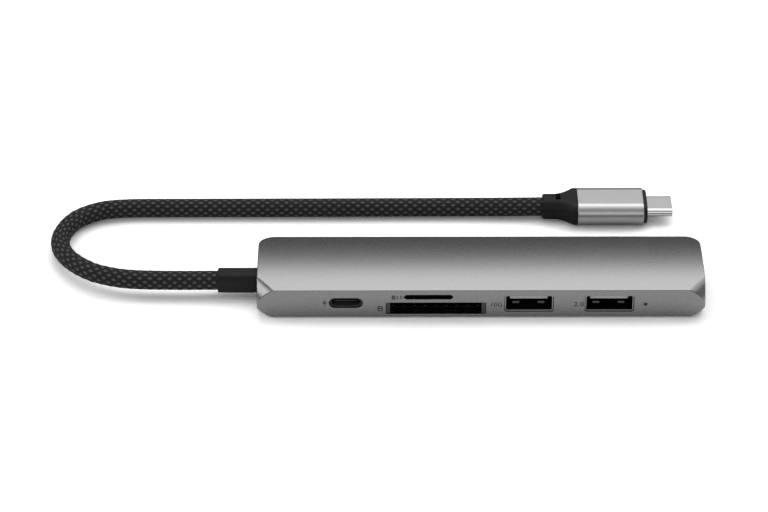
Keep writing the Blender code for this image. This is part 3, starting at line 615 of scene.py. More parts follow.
# Each finish with grain: its colour or the setting that holds it, roughness, metallic, grain scale, change
# of tone, change of roughness, bump and, where they aren't plain, the grain's stretch and the specular level
GRAINED = {
    "blasted_grey_metal": ("housing", 0.28, 1, 3800, 0.06, 0.08, 0.022),
    "brushed_grey_metal": ("plug", 0.36, 1, 4500, 0.03, 0.05, 0.015, (0.15, 1, 1)),
    "rolled_steel": ((0.42, 0.42, 0.42), 0.3, 1, 2500, 0.1, 0.12, 0.04, (1, 0.05, 1)),
    # steel made darker as painted shade: the power port's plate and the data ports' spring tabs, inside their
    # ports
    "dark_steel": ((0.1, 0.098, 0.096), 0.36, 1, 2500, 0.1, 0.12, 0.04),
    # steel made nearly black as painted shade: the power port's sleeve and the large socket's contacts, deep
    # in their openings
    "black_steel": ((0.042, 0.042, 0.042), 0.24, 1, 2500, 0.1, 0.08, 0.04),
    "polished_nickel": ((0.86, 0.86, 0.855), 0.06, 1, 2000, 0.03, 0.04, 0.01, (0.05, 1, 1)),
    "gold_flash": ((0.75, 0.55, 0.22), 0.3, 1, 3000, 0.08, 0.1, 0.03),
    "satin_rubber": ("rubber", 0.5, 0, 5000, 0.25, 0.12, 0.12, None, 0.22),
    "black_plastic": ((0.01, 0.01, 0.011), 0.42, 0, 4500, 0.2, 0.12, 0.1, None, 0.25),
    # duller black plastic, also made darker than black_plastic as painted shade for the insides of the ports
    # and slots
    "dull_black_plastic": ((0.004, 0.004, 0.0044), 0.5, 0, 4500, 0.2, 0.1, 0.1, None, 0.1),
    "dark_grey_plastic": ((0.05, 0.05, 0.051), 0.5, 0, 4500, 0.1, 0.1, 0.1),
    "grey_plastic": ((0.6, 0.6, 0.6), 0.5, 0, 4500, 0.08, 0.1, 0.08),
    "etched_grey": ("mark", 0.6, 0, 5000, 0.15, 0.1, 0.1),
    "smoked_lens": ((0.03, 0.03, 0.033), 0.3, 0, 3000, 0.1, 0.1, 0.05),
    "chip_package": ((0.025, 0.025, 0.027), 0.5, 0, 4000, 0.3, 0.08, 0.1),
    "pressed_ferrite": ((0.06, 0.06, 0.065), 0.6, 0, 4000, 0.4, 0.08, 0.3),
    "ochre_case": ((0.55, 0.3, 0.06), 0.45, 0, 4000, 0.12, 0.08, 0.1),
    "soft_pad": ((0.45, 0.5, 0.56), 0.8, 0, 4000, 0.15, 0.08, 0.3),
    "wire_red": ((0.5, 0.02, 0.02), 0.4, 0, 4000, 0.1, 0.08, 0.1),
    "wire_black": ((0.02, 0.02, 0.02), 0.4, 0, 4000, 0.1, 0.08, 0.1),
    "wire_green": ((0.02, 0.3, 0.06), 0.4, 0, 4000, 0.1, 0.08, 0.1),
    "wire_white": ((0.8, 0.8, 0.8), 0.4, 0, 4000, 0.1, 0.08, 0.1),
}
SPECIAL = {"solder_mask": solder_mask, "black_braid": black_braid}


def finish_of(name):
    """The material of a finish."""
    if name in SPECIAL:
        return once(name, SPECIAL[name])
    shade, *values = GRAINED[name]
    if isinstance(shade, str):
        shade = getattr(bpy.context.scene.hub_finishes, shade)
    return once(name, grained, shade, *values)


# Stage


def add_panel(name, place, aim, size, radiance):
    """A soft lamp of a given brightness: its power is that times pi times its area."""
    lamp = bpy.data.lights.new(name, "AREA")
    lamp.shape = "RECTANGLE"
    lamp.size, lamp.size_y = size
    lamp.energy = radiance * math.pi * size[0] * size[1]
    panel = bpy.data.objects.new(name, lamp)
    panel.location = place
    panel.rotation_mode = "QUATERNION"
    panel.rotation_quaternion = (Vector(aim) - Vector(place)).to_track_quat("-Z", "Y")
    bpy.context.scene.collection.objects.link(panel)


PANELS = {  # name: range along X, range along Y, share of the main panel's brightness
    "main_panel": ((-0.3, 0.35), (0.38, 0.83), 1.0),
    "upper_panel": ((-0.3, 0.35), (0.1, 0.38), 0.6),
    "top_panel": ((-0.3, 0.35), (-0.15, 0.1), 0.26),
    "near_panel": ((-0.3, 0.35), (-0.5, -0.15), 0.1),
    "right_panel": ((0.35, 0.75), (0.1, 0.83), 0.85),
    "far_panel": ((0.75, 1.5), (0.1, 0.83), 0.8),
    "side_panel": ((-0.6, -0.3), (0.1, 0.83), 0.3),
    "back_panel": ((-0.6, 1.1), (0.83, 1.2), 0.17),
}
PANEL_HEIGHT = 0.75
LOW_SHARE = 0.1  # of the left panel's brightness, for the low panel on the right
FLOOR_SIDE, FLOOR_LEVEL = 3.0, -0.01 * MM
# What the camera sees of the floor: its lift at the middle, the change along Y, the limits, and the share on
# the right, which paints a faint shadow beside the hub's right end
FLOOR_LIFT, FLOOR_CHANGE, FLOOR_LIMITS, FLOOR_RIGHT_PAINTED_SHADOW = 1.75, -1.6, (1.2, 2.2), 0.84
# reflections see the floor darker behind the hub than in front: painted shade
MIRRORED_FLOOR_PAINTED_SHADE = (1.13, 0.6)  # what reflections see of it, in front and behind
SENSOR_WIDTH = 36


def grey(tree, value):
    return node(tree, "CombineXYZ", {0: value, 1: value, 2: value}).outputs[0]


def floor_finish(shade):
    """Pale floor: for the camera its colour is lifted to white, more so in front, where less light falls.

    At the hub's right end it is lifted less, a painted shadow; in reflections it darkens towards the back,
    painted shade.
    """
    material, tree, _ = blank("pale_floor", shade)
    tree.nodes.clear()
    path = node(tree, "LightPath").outputs
    place = node(tree, "SeparateXYZ", {0: object_place(tree)}).outputs
    lifted = calc(tree, "MULTIPLY_ADD", place[1], FLOOR_CHANGE, FLOOR_LIFT)
    limits = {"Value": lifted, "Min": FLOOR_LIMITS[0], "Max": FLOOR_LIMITS[1]}
    # painted shadow: the floor is lifted less beside the hub's right end
    right = ramp(tree, place[0], 50 * MM, 64 * MM, 1.0, FLOOR_RIGHT_PAINTED_SHADOW)
    lifted = calc(tree, "MULTIPLY", node(tree, "Clamp", limits).outputs[0], right)
    # painted shade: reflections see the floor darken from in front of the hub to behind it
    mirrored_painted_shade = ramp(tree, place[1], 5 * MM, 22 * MM, *MIRRORED_FLOOR_PAINTED_SHADE)
    mirrored = mixed(tree, path["Is Glossy Ray"], rgba(shade), grey(tree, mirrored_painted_shade))
    tone = mixed(tree, path["Is Camera Ray"], mirrored, grey(tree, lifted))
    surface = node(tree, "BsdfDiffuse", {"Color": tone}).outputs[0]
    node(tree, "OutputMaterial", {"Surface": surface})
    return material


class HUB_OT_stage(bpy.types.Operator):
    """Set the floor, the lamps and the camera"""

    bl_idname = "hub.stage"
    bl_label = "Stage"

    def execute(self, context):
        scene, s = context.scene, context.scene.hub_stage
        mesh = bpy.data.meshes.new("floor")
        corners = [(x, y, FLOOR_LEVEL) for x, y in rectangle(2 * FLOOR_SIDE, 2 * FLOOR_SIDE)]
        mesh.from_pydata(corners, [], [(0, 1, 2, 3)])
        mesh.materials.append(floor_finish(s.floor))
        floor = bpy.data.objects.new("floor", mesh)
        scene.collection.objects.link(floor)
        world = bpy.data.worlds.new("room")
        world.use_nodes = True
        world.node_tree.nodes["Background"].inputs["Color"].default_value = (s.ambient,) * 3 + (1,)
        scene.world = world
        for name, ((left, right), (near, far), share) in PANELS.items():
            x, y = (left + right) / 2, (near + far) / 2
            add_panel(name, (x, y, PANEL_HEIGHT), (x, y, 0), (right - left, far - near), s.panel * share)
        add_panel("left_panel", (-0.75, 0.1, 0.42), (0, 0.1, 0.42), (0.5, 0.52), s.strip)
        add_panel("low_panel", (1.3, 0.1, 0.3), (0, 0.1, 0.3), (0.8, 0.5), s.strip * LOW_SHARE)
        add_panel("front_panel", (0, -1.2, 0.65), (0, 0, 0.65), (2.6, 0.8), s.front)
        camera = bpy.data.objects.new("camera", bpy.data.cameras.new("camera"))
        camera.data.lens = s.focal
        camera.data.sensor_width = SENSOR_WIDTH
        rise, turn = s.camera_angle, s.camera_turn
        away = Vector((math.sin(turn) * math.cos(rise), -math.cos(turn) * math.cos(rise), math.sin(rise)))
        camera.location = Vector((s.aim_x, s.aim_y, s.aim_z)) + s.camera_distance * away
        camera.rotation_euler = (math.pi / 2 - rise, 0, turn)
        scene.collection.objects.link(camera)
        scene.camera = camera
        scene.view_settings.view_transform = "Standard"
        return {"FINISHED"}


# Cable


def smooth_line(points, steps):
    """Catmull-Rom curve through the points: each span is a cubic of its four nearest points."""
    p = np.asarray(points, float)
    p = np.vstack([2 * p[0] - p[1], p, 2 * p[-1] - p[-2]])
    t = np.linspace(0, 1, steps, endpoint=False)[None, :, None]
    a, b, c, d = (p[k : len(p) - 3 + k, None] for k in range(4))
    line = 2 * b + (c - a) * t + (2 * a - 5 * b + 4 * c - d) * t**2 + (3 * b - a - 3 * c + d) * t**3
    return np.vstack([line.reshape(-1, 3) / 2, p[-2]])


def even_line(line, count):
    """Points at equal distances along a line, and those distances."""
    step = np.linalg.norm(np.diff(line, axis=0), axis=1)
    far = np.concatenate([[0], np.cumsum(step)])
    at = np.linspace(0, far[-1], count)
    return np.stack([np.interp(at, far, line[:, k]) for k in range(3)], -1), at


def braided_tube(line, distance, s, columns):
    """A tube whose radius follows the yarns of a braid.

    With u repeats along and v rows round, p = u + v/2 and q = u - v/2 count the yarns of the two
    directions. In each diamond of p and q one yarn lies on top: it is a pillow, round across and
    dipping at both ends under its neighbours.
    """
    ahead = np.gradient(line, axis=0)
    ahead /= np.linalg.norm(ahead, axis=1)[:, None]
    side = np.cross((0, 0, 1), ahead)
    side /= np.linalg.norm(side, axis=1)[:, None]
    up = np.cross(ahead, side)
    turn = np.arange(columns) * 2 * np.pi / columns
    u = (distance / s.repeat)[:, None]
    v = np.arange(columns)[None] * s.rows / columns
    p, q = u + v / 2, u - v / 2
    top = (np.floor(p) + np.floor(q)) % 2 == 1
    p, q = p % 1 - 0.5, q % 1 - 0.5
    across, along = np.where(top, p, q), np.where(top, q, p)
    pillow = np.sqrt(np.clip(1 - (1.9 * across) ** 2, 0.05, 1)) * np.cos(np.pi * along * 0.92)
    radius = s.diameter / 2 - s.relief * (1 - pillow)
    ring = np.cos(turn)[:, None] * side[:, None] + np.sin(turn)[:, None] * up[:, None]
    return line[:, None] + radius[..., None] * ring


class HUB_OT_cable(bpy.types.Operator):
    """Lay the braided cable and the strain relief that it leaves the housing by"""

    bl_idname = "hub.cable"
    bl_label = "Cable"

    def execute(self, context):
        s = context.scene.hub_cable
        rows, columns = CABLE_ROWS, CABLE_COLUMNS
        line, distance = even_line(smooth_line(CABLE_ROUTE, ROUTE_STEPS), rows)
        tube = braided_tube(line, distance, s, columns)
        faces = grid_faces(rows, columns)
        mesh = bpy.data.meshes.new("braided_cable")
        ends = [list(range(columns))[::-1], list(range((rows - 1) * columns, rows * columns))]
        mesh.from_pydata(tube.reshape(-1, 3).tolist(), [], faces.tolist() + ends)
        row, column = np.divmod(np.arange(len(faces)), columns)
        u = distance[row[:, None] + (0, 0, 1, 1)] / s.repeat
        v = (column[:, None] + (0, 1, 1, 0)) * s.rows / columns
        uv = np.zeros((len(mesh.loops), 2), np.float32)
        uv[: faces.size] = np.stack([u, v], -1).reshape(-1, 2)
        mesh.uv_layers.new(name="braid").data.foreach_set("uv", uv.ravel())
        clean(mesh, weld=False)
        cable = add_piece("braided_cable", mesh, "black_braid", "braid", "cable", sharp=80)
        along, inset = round_ends(CABLE_EXIT[0], -57.0 * MM, 0.4 * MM)
        size, corner = s.sleeve - 2 * inset, s.sleeve_corner - inset
        sleeve = Shell().solid(rounded_loft("X", along, size, size, corner, CABLE_EXIT[1:], 10))
        ends = np.array([-58.2, -56.8]) * MM
        sleeve.solid(rounded_loft("X", ends, 9.0 * MM, 6.4 * MM, 1.6 * MM, CABLE_EXIT[1:]))
        relief = add_piece("strain_relief", sleeve, "satin_rubber", "black_rubber", "cable_strain_relief")
        return {"FINISHED"}


# Plug


def boot_surface():
    """The boot along X: a collar that flares in an S curve to the shell's width, with one flex notch.

    Rounded rectangles of changing width; the flare goes as 1 - (1 - t^2.3)^1.1. Round the notch the
    points move towards the middle of the section.
    """
    d = ladder((0.5, 0.06), (3.7, 0.3), (3.76, 0.03), (5.1, 0.1), (5.16, 0.03), (9.5, 0.2), (9.88, 0.05))
    t = np.clip((d / MM - 2.4) / 6.3, 0, 1)
    flare = 1 - (1 - t**2.3) ** 1.1
    start = np.sqrt(np.clip(1 - (1 - d / BOOT_ROUND) ** 2, 0, 1))
    start = np.where(d < BOOT_ROUND, start, 1)
    end = np.clip((BOOT_LENGTH - d) / BOOT_RIM, 0, 1)
    inset = BOOT_ROUND * (1 - start) + BOOT_RIM * (1 - np.sqrt(1 - (1 - end) ** 2))
    width = (7.25 + 5.85 * flare) * MM - 2 * inset
    height = (6.7 + 0.08 * flare) * MM - 2 * inset
    radius = (3.1 + 0.1 * flare) * MM - inset
    points = rounded_loft("X", BOOT_START + d, width, height, radius, (PLUG_Y, PLUG_Z), 40)
    middle = np.array((PLUG_Y, PLUG_Z))
    away = points[..., 1:] - middle
    turn = np.arctan2(away[..., 1], away[..., 0])
    notch = ((d > NOTCH[0]) & (d < NOTCH[1]))[:, None] & (turn > NOTCH_TURN[0]) & (turn < NOTCH_TURN[1])
    points[..., 1:] = np.where(notch[..., None], middle + away * NOTCH_SHARE, points[..., 1:])
    return points


def spread(count, pitch, middle, level):
    """Places of a row of like things, set evenly about its middle at one level."""
    return [(middle + (k - (count - 1) / 2) * pitch, level) for k in range(count)]


def between(first, second, steps):
    """Rows of points from one ring to another with as many points."""
    t = np.linspace(0, 1, steps)[:, None, None]
    return first + (second - first) * t


class HUB_OT_plug(bpy.types.Operator):
    """Make the plug: boot, metal shell, nose ring, tip, and the insulator and contacts inside the tip"""

    bl_idname = "hub.plug"
    bl_label = "Plug"

    def execute(self, context):
        centre = (PLUG_Y, PLUG_Z)
        boot = Shell().solid(boot_surface())
        ends = [SHELL_START - 0.2 * MM, SHELL_START + 2 * MM]
        boot.solid(rounded_loft("X", ends, 10.9 * MM, 4.5 * MM, 1.9 * MM, centre))
        add_piece("boot", boot, "satin_rubber", "black_rubber", "plug_boot")
        body = self.tube(SHELL_START, SHELL_END, (13.2, 6.8, 3.2), 1.0, 0.22)
        add_piece("plug_body", body, "brushed_grey_metal", "plug_metal", "plug_shell")
        tip = self.tube(SHELL_END - 1.5 * MM, TIP_END, (8.25, 2.4, 1.19), 0.3, 0.13)
        add_piece("plug_tube", tip, "polished_nickel", "nickel", "plug_tip")
        self.nose(centre)
        self.insulator(centre)
        return {"FINISHED"}

    def tube(self, start, end, size, wall, rim):
        """A tube along X: rounded rectangles outside and inside, with round rims between them.

        size is its width, height and corner radius; it, wall and rim are in millimetres.
        """
        width, height, radius = (value * MM for value in size)
        along, inset = round_ends(start, end, rim * MM)
        along = np.concatenate([along, along[::-1]])
        inset = np.concatenate([inset, wall * MM - inset[::-1]])
        corner = np.maximum(radius - inset, 0.05 * MM)
        size = width - 2 * inset, height - 2 * inset
        return Shell().grid(rounded_loft("X", along, *size, corner, (PLUG_Y, PLUG_Z), 14), close_rows=True)

    def nose(self, centre):
        """The nose ring: a rounded step outside, a flat front that closes in on the tip."""
        start, end, rim = SHELL_END - 0.3 * MM, NOSE_END, 0.55 * MM
        turn = np.linspace(0, np.pi / 2, 9)
        along = np.concatenate([[start], end - rim * (1 - np.sin(turn))])
        inset = np.concatenate([[0], rim * (1 - np.cos(turn))])
        size = 12.1 * MM - 2 * inset, 6.0 * MM - 2 * inset
        outer = rounded_loft("X", along, *size, 2.85 * MM - inset, centre, 14)
        hole = rounded_loft("X", [end, start], 8.27 * MM, 2.42 * MM, 1.2 * MM, centre, 14)
        front = between(outer[-1], hole[0], 3)
        ring = Shell().grid(outer).grid(front).grid(hole).grid(between(hole[-1], outer[0], 2))
        add_piece("nose_ring", ring, "black_plastic", "black_plastic", "plug_nose_ring")

    def insulator(self, centre):
        """The insulator: a block with a slot, and two rows of contacts on the slot's walls."""
        start, end = SHELL_END - 1.2 * MM, TIP_END - 0.5 * MM
        block = rounded_loft("X", [start, end], 7.63 * MM, 1.78 * MM, 0.88 * MM, centre)
        slot = rounded_loft("X", [end, start + 1.2 * MM], 6.7 * MM, 0.72 * MM, 0.1 * MM, centre)
        shell = Shell().grid(block).grid(between(block[-1], slot[0], 2)).grid(slot)
        shell.cap(block[0]).cap(slot[-1])
        add_piece("tip_insulator", shell, "black_plastic", "black_plastic", "plug_tip_insulator")
        along, inset = round_ends(start + 1.4 * MM, end - 0.9 * MM, 0.04 * MM, 2)
        size = 0.24 * MM - 2 * inset, 0.1 * MM - 2 * inset
        contacts = Shell()
        for row in (-1, 1):
            for place in spread(12, 0.5 * MM, PLUG_Y, PLUG_Z + row * 0.33 * MM):
                contacts.solid(rounded_loft("X", along, *size, 0.02 * MM - inset / 4, place, 2))
        add_piece("tip_contacts", contacts, "gold_flash", "gold_contacts")


# Housing


def rounded_max(fields, radius):
    """The largest field, with a round of that radius where two of them meet.

    Where more than one field is over -radius, the result is the length of the vector of what they
    are over it, less the radius.
    """
    stack = np.stack(fields)
    over = np.maximum(stack + radius, 0)
    return np.minimum(stack.max(0), -radius) + np.sqrt((over**2).sum(0))


def facet_field(inset, drop, slopes, first, last, start, radius, depth):
    """How far a point lies past a front corner facet, from its inset from the end and its drop from the edge.

    Going down, the facet is a plane at the first slope, an arc from the first to the last slope, a
    nose arc that turns upright at the given depth, and an upright plane. slopes are those of inset
    and drop along Y, which make up the field's true gradient.
    """
    ci, cd = start + radius * math.sin(first), radius * math.cos(first)
    nose = (depth - cd + radius * math.cos(last)) / math.cos(last)
    ni, nd = ci + (nose - radius) * math.sin(last), cd + (nose - radius) * math.cos(last)
    turn = np.arctan2(ci - inset, cd - drop)
    turn = np.where(turn > last, np.maximum(np.arctan2(ni - inset, nd - drop), last), turn)
    turn = np.clip(turn, first, np.pi / 2)
    on_nose = turn > last
    across, down = -np.sin(turn), -np.cos(turn)
    value = (inset - np.where(on_nose, ni, ci)) * across + (drop - np.where(on_nose, nd, cd)) * down
    value -= np.where(on_nose, nose, radius)
    return value / np.sqrt(across**2 + (across * slopes[0] + down * slopes[1]) ** 2 + down**2)


def past_corner(beside, behind, radius):
    """Distance past a round upright corner, from the distances past the two lines through its centre."""
    corner = np.hypot(np.maximum(beside, 0), np.maximum(behind, 0)) - radius
    return corner + np.minimum(np.maximum(beside, behind), 0)


def crown_radius(s):
    return ((s.deep / 2) ** 2 + s.crown**2) / (2 * s.crown)


def housing_field(points, s):
    """Above 0 outside the housing: the rounded largest of its crown or bottom, facets, plan and port face."""
    x, y, z = np.abs(points[..., 0]), points[..., 1], points[..., 2]
    half_long, half_deep = s.long / 2, s.deep / 2
    top, radius = s.lift + s.edge, crown_radius(s)
    behind_front, lean = y + half_deep, s.facet_inset / s.facet_run
    rise = half_deep / radius - s.facet_run / (2 * radius)
    inset = half_long + lean * behind_front - x
    shape = s.facet_start, s.facet_break, s.facet_inset, s.facet_radius, top - s.nose_height
    upper = facet_field(inset, top + rise * behind_front - z, (lean, rise), *shape)
    shape = s.facet_start, s.under_break, s.under_inset, s.under_radius, s.nose_height - s.lift
    lower = facet_field(inset, z - s.lift, (lean, 0), *shape)
    crown = np.hypot(y, z - (top + s.crown - radius)) - radius
    lid = np.where(z > s.lift + s.edge / 2, crown, s.lift - z)
    creased = rounded_max([lid, np.maximum(upper, lower)], s.crease_round)
    plan = past_corner(x - half_long + s.back_corner, y - half_deep + s.back_corner, s.back_corner)
    return rounded_max([creased, plan, -half_deep - y], s.edge_round)


def housing_section(s):
    """Points (y, z) round the square section, close together at its edges and at the facets."""
    edge, deep = s.edge / MM, s.deep / MM
    up = ladder(EDGE_STEP, (edge - 0.36, 0.125), (edge, 0.06))
    over = ladder(EDGE_STEP, (6.0, 0.125), (18.0, 0.75), (deep - 0.36, 0.25), (deep, 0.06))
    down = ladder(EDGE_STEP, (edge - 0.36, 0.45), (edge, 0.06))
    back = ladder(EDGE_STEP, (7.0, 0.25), (19.0, 0.75), (deep - 0.36, 0.15), (deep, 0.06))
    half, low, top, radius = s.deep / 2, s.lift, s.lift + s.edge, crown_radius(s)
    y = over - half
    crown = top + s.crown - radius + np.sqrt(radius**2 - y**2)
    sides = [
        (np.full(len(up), -half), low + up),
        (y, crown),
        (np.full(len(down), half), top - down),
        (half - back, np.full(len(back), low)),
    ]
    return np.concatenate([np.stack(side, -1)[:-1] for side in sides])


def relief_hole(section, s, offset):
    """Outline of the strain relief's hole with one point for each point of the section, by its direction."""
    loop = convex_outline(rectangle(s.cable_hole, s.cable_hole), s.hole_corner, offset, 24)
    ahead = np.roll(loop, -1, axis=0) - loop
    loop = (loop[:, None] + ahead[:, None] * np.linspace(0, 1, 16, endpoint=False)[:, None]).reshape(-1, 2)
    turn = np.arctan2(loop[:, 1], loop[:, 0])
    order = np.argsort(turn)
    turn, far = turn[order], np.linalg.norm(loop, axis=1)[order]
    centre = np.array(CABLE_EXIT[1:])
    away = section - centre
    wanted = np.arctan2(away[:, 1], away[:, 0])
    reach = np.interp(wanted, np.concatenate([turn - 2 * np.pi, turn, turn + 2 * np.pi]), np.tile(far, 3))
    return centre + reach[:, None] * np.stack([np.cos(wanted), np.sin(wanted)], -1)


def lip_rows(radius, wall):
    """(offset, depth) of an opening's edge: a flat margin, a quarter round and the wall behind it."""
    turn = np.linspace(0, np.pi / 2, 6)
    offset = np.concatenate([[radius + LIP_MARGIN], radius * (1 - np.sin(turn)), [0]])
    depth = np.concatenate([[0], radius * (1 - np.cos(turn)), [wall]])
    return offset, depth


def openings():
    """Corners and corner radius of each opening in the port face."""
    kinds = [
        (POWER_PORT, rectangle, POWER_PORT[3] / 2 - 0.02 * MM),
        (SMALL_CARD, pointed_slot, 0.3 * MM),
        (LARGE_CARD, rectangle, 0.42 * MM),
        *((port, rectangle, 0.7 * MM) for port in DATA_PORTS),
        (LIGHT_HOLE, rectangle, LIGHT_HOLE[3] / 2 - 0.01 * MM),
    ]
    return [(shape(width, height, (x, z)), radius) for (x, z, width, height), shape, radius in kinds]


def video_opening(offset):
    """Outline of the video port's opening in the back."""
    x, z, width, height = VIDEO_PORT
    return convex_outline(slanted_port(width, height, (x, z)), VIDEO_CORNER, offset, 6)


class HUB_OT_housing(bpy.types.Operator):
    """Make the housing: one metal shell with a crowned top, faceted front corners and its openings"""

    bl_idname = "hub.housing"
    bl_label = "Housing"

    def execute(self, context):
        s = context.scene.hub_housing
        shell = Shell()
        self.windows(shell, self.skin(s), s)
        self.cavity(shell, s)
        mesh = shell.mesh("housing")
        uses = np.zeros(len(mesh.loops), np.int32)
        mesh.loops.foreach_get("edge_index", uses)
        loose = (np.bincount(uses, minlength=len(mesh.edges)) != 2).sum()
        if loose:
            raise RuntimeError(f"the housing isn't closed: {loose} edges")
        add_piece("housing", mesh, "blasted_grey_metal", "housing_metal", "upper_housing", sharp=50)
        return {"FINISHED"}

    def skin(self, s):
        """The outer skin: rays from the core to points on a plain box, stopped where the field is 0.

        Rows run from the strain relief's hole on the left end, along the housing, to the middle of
        the right end.
        """
        section = housing_section(s)
        half, middle = s.long / 2, np.array((0, s.lift + s.edge / 2))
        near = ladder(EDGE_STEP, (5.0, 0.125), ((half - CORE) / MM, 0.5))
        straight = np.linspace(-CORE, CORE, 21)[1:-1]
        x = np.concatenate([near - half, straight, half - near[::-1]])
        hole = relief_hole(section, s, s.lip_round + LIP_MARGIN)
        inward = np.concatenate([ladder((0.026, 0.0045), (0.44, 0.011), (0.92, 0.08))[1:] / MM, [1.0]])
        left = section + (hole - section) * inward[::-1, None, None]
        right = section + (middle - section) * inward[:-1, None, None]
        rings = np.concatenate([left, np.tile(section, (len(x), 1, 1)), right])
        x = np.concatenate([np.full(len(left), -half), x, np.full(len(right), half)])
        aim = set_along("X", x, rings)
        core_points = np.zeros_like(aim)
        core_points[..., 0] = np.clip(aim[..., 0], -CORE, CORE)
        core_points[..., 2] = middle[1]
        way = aim - core_points
        low, high = np.zeros(aim.shape[:2]), np.full(aim.shape[:2], RAY_REACH)
        for _ in range(RAY_HALVINGS):
            at = (low + high) / 2
            outside = housing_field(core_points + way * at[..., None], s) > 0
            low, high = np.where(outside, low, at), np.where(outside, at, high)
        return core_points + way * low[..., None]

    def windows(self, shell, skin, s):
        """Adds the skin, with the flat port face, back and bottom refilled round their openings."""
        rows, columns = skin.shape[:2]
        points, faces = skin.reshape(-1, 3), grid_faces(rows, columns)
        x, y, z = (points[:, k] for k in range(3))
        half_deep, tiny = s.deep / 2, 0.0005 * MM
        upright = (z > s.lift + FACE_MARGIN) & (z < s.lift + s.edge - FACE_MARGIN)
        front = (y < tiny - half_deep) & (np.abs(x) < CORE + tiny) & upright
        back = (y > half_deep - tiny) & (x > -CORE - tiny) & (x < BACK_WINDOW + tiny) & upright
        flat = z < s.lift + tiny
        beside = np.abs(x) - (s.long / 2 - s.end_wall - CAVITY_CORNER)
        behind = np.abs(y) - (half_deep - s.wall - CAVITY_CORNER)
        near = past_corner(beside, behind, CAVITY_CORNER) < 0.1 * MM
        cuts = [front[faces].all(1), back[faces].all(1), flat[faces].all(1) & near[faces].any(1)]
        shell.add(points, faces[~np.any(cuts, axis=0)])
        offset, depth = lip_rows(s.lip_round, s.wall)
        front_loops = []
        for corners, radius in openings():
            rings = np.stack([convex_outline(corners, radius, o, 10) for o in offset])
            lip = set_along("Y", depth - half_deep, rings)
            shell.grid(lip)
            front_loops.append(lip[0])
        lip = set_along("Y", half_deep - depth, np.stack([video_opening(o) for o in offset]))
        shell.grid(lip)
        loop = self.cavity_outline(s)
        bottom_loop = np.concatenate([loop, np.full((len(loop), 1), s.lift)], 1)
        holes = (front_loops, [lip[0]], [bottom_loop])
        for cut, loops, axes in zip(cuts, holes, ([0, 2], [0, 2], [0, 1])):
            shell.add(*flat_fill(points[self.border(faces[cut])], loops, axes))
        shell.cap(skin[-1])

    def border(self, faces):
        """Edges that only one of the faces uses."""
        edges = np.stack([faces, np.roll(faces, -1, axis=1)], -1).reshape(-1, 2)
        edges, uses = np.unique(np.sort(edges, axis=1), axis=0, return_counts=True)
        return edges[uses == 1]

    def cavity_outline(self, s):
        size = s.long - 2 * s.end_wall, s.deep - 2 * s.wall
        return convex_outline(rectangle(*size), CAVITY_CORNER, 0, 6)

    def cavity(self, shell, s):
        """Adds the inside: upright walls round the cavity, its ceiling, and the openings' inner edges."""
        loop = self.cavity_outline(s)
        wall = set_along("Z", [s.lift, s.ceiling], np.stack([loop, loop]))
        steps = len(loop) // 4
        pierced = [steps - 1, 3 * steps - 1, 4 * steps - 1]
        kept = [k for k in range(len(loop)) if k not in pierced]
        shell.add(wall, grid_faces(2, len(loop))[kept])
        shell.cap(wall[1])
        inside = s.deep / 2 - s.wall
        front_loops = [set_along("Y", [-inside], convex_outline(c, r, 0, 10)[None])[0] for c, r in openings()]
        back_loop = set_along("Y", [inside], video_opening(0)[None])[0]
        offset, depth = lip_rows(s.lip_round, s.end_wall)
        section = housing_section(s)
        lip = set_along("X", depth - s.long / 2, np.stack([relief_hole(section, s, o) for o in offset]))
        shell.grid(lip)
        holes = (front_loops, [back_loop], [lip[-1]])
        for index, loops, axes in zip(pierced, holes, ([0, 2], [0, 2], [1, 2])):
            after = (index + 1) % len(loop)
            corners = np.stack([wall[0, index], wall[0, after], wall[1, after], wall[1, index]])
            border = np.stack([corners, np.roll(corners, -1, axis=0)], 1)
            shell.add(*flat_fill(border, loops, axes))


# Ports


def sleeve(corners, radius, start, end, thickness):
    """A port's metal sleeve along Y: a thin wall with a round front rim, carried round an outline."""
    turn = np.linspace(0, np.pi / 2, 5)
    near, far = SLEEVE_RIM * (1 - np.sin(turn)), SLEEVE_RIM * (1 - np.cos(turn))
    offset = np.concatenate([[0], -far, far[::-1] - thickness, [-thickness]])
    along = np.concatenate([[end], start + near, start + near[::-1], [end]])
    rings = np.stack([convex_outline(corners, radius, o, 8) for o in offset])
    return set_along("Y", along, rings)


def lining(corners, radius, front, end, thickness):
    """A port's lining along Y: a thin wall inside a sleeve of that thickness, from behind its rim."""
    outer, inner = (convex_outline(corners, radius, -thickness - depth, 8) for depth in LINING)
    along = [end, front + 0.12 * MM, front + 0.2 * MM, end]
    return set_along("Y", along, np.stack([outer, outer, inner, inner]))


def plug(corners, radius, start, end, thickness):
    """A block along Y that fills a sleeve of that thickness."""
    outline = convex_outline(corners, radius, -thickness - LINING[0], 8)
    return set_along("Y", [start, end], np.stack([outline, outline]))


def bar(start, end, width, height, radius, centre, steps=5):
    """A straight bar along Y with round edges and ends."""
    along, inset = round_ends(start, end, radius, steps)
    corner = np.maximum(radius - inset, 0.15 * radius)
    return rounded_loft("Y", along, width - 2 * inset, height - 2 * inset, corner, centre, steps)


def bars(places, *size, steps):
    """A shell of like bars, one at each place."""
    shell = Shell()
    for place in places:
        shell.solid(bar(*size, place, steps))
    return shell


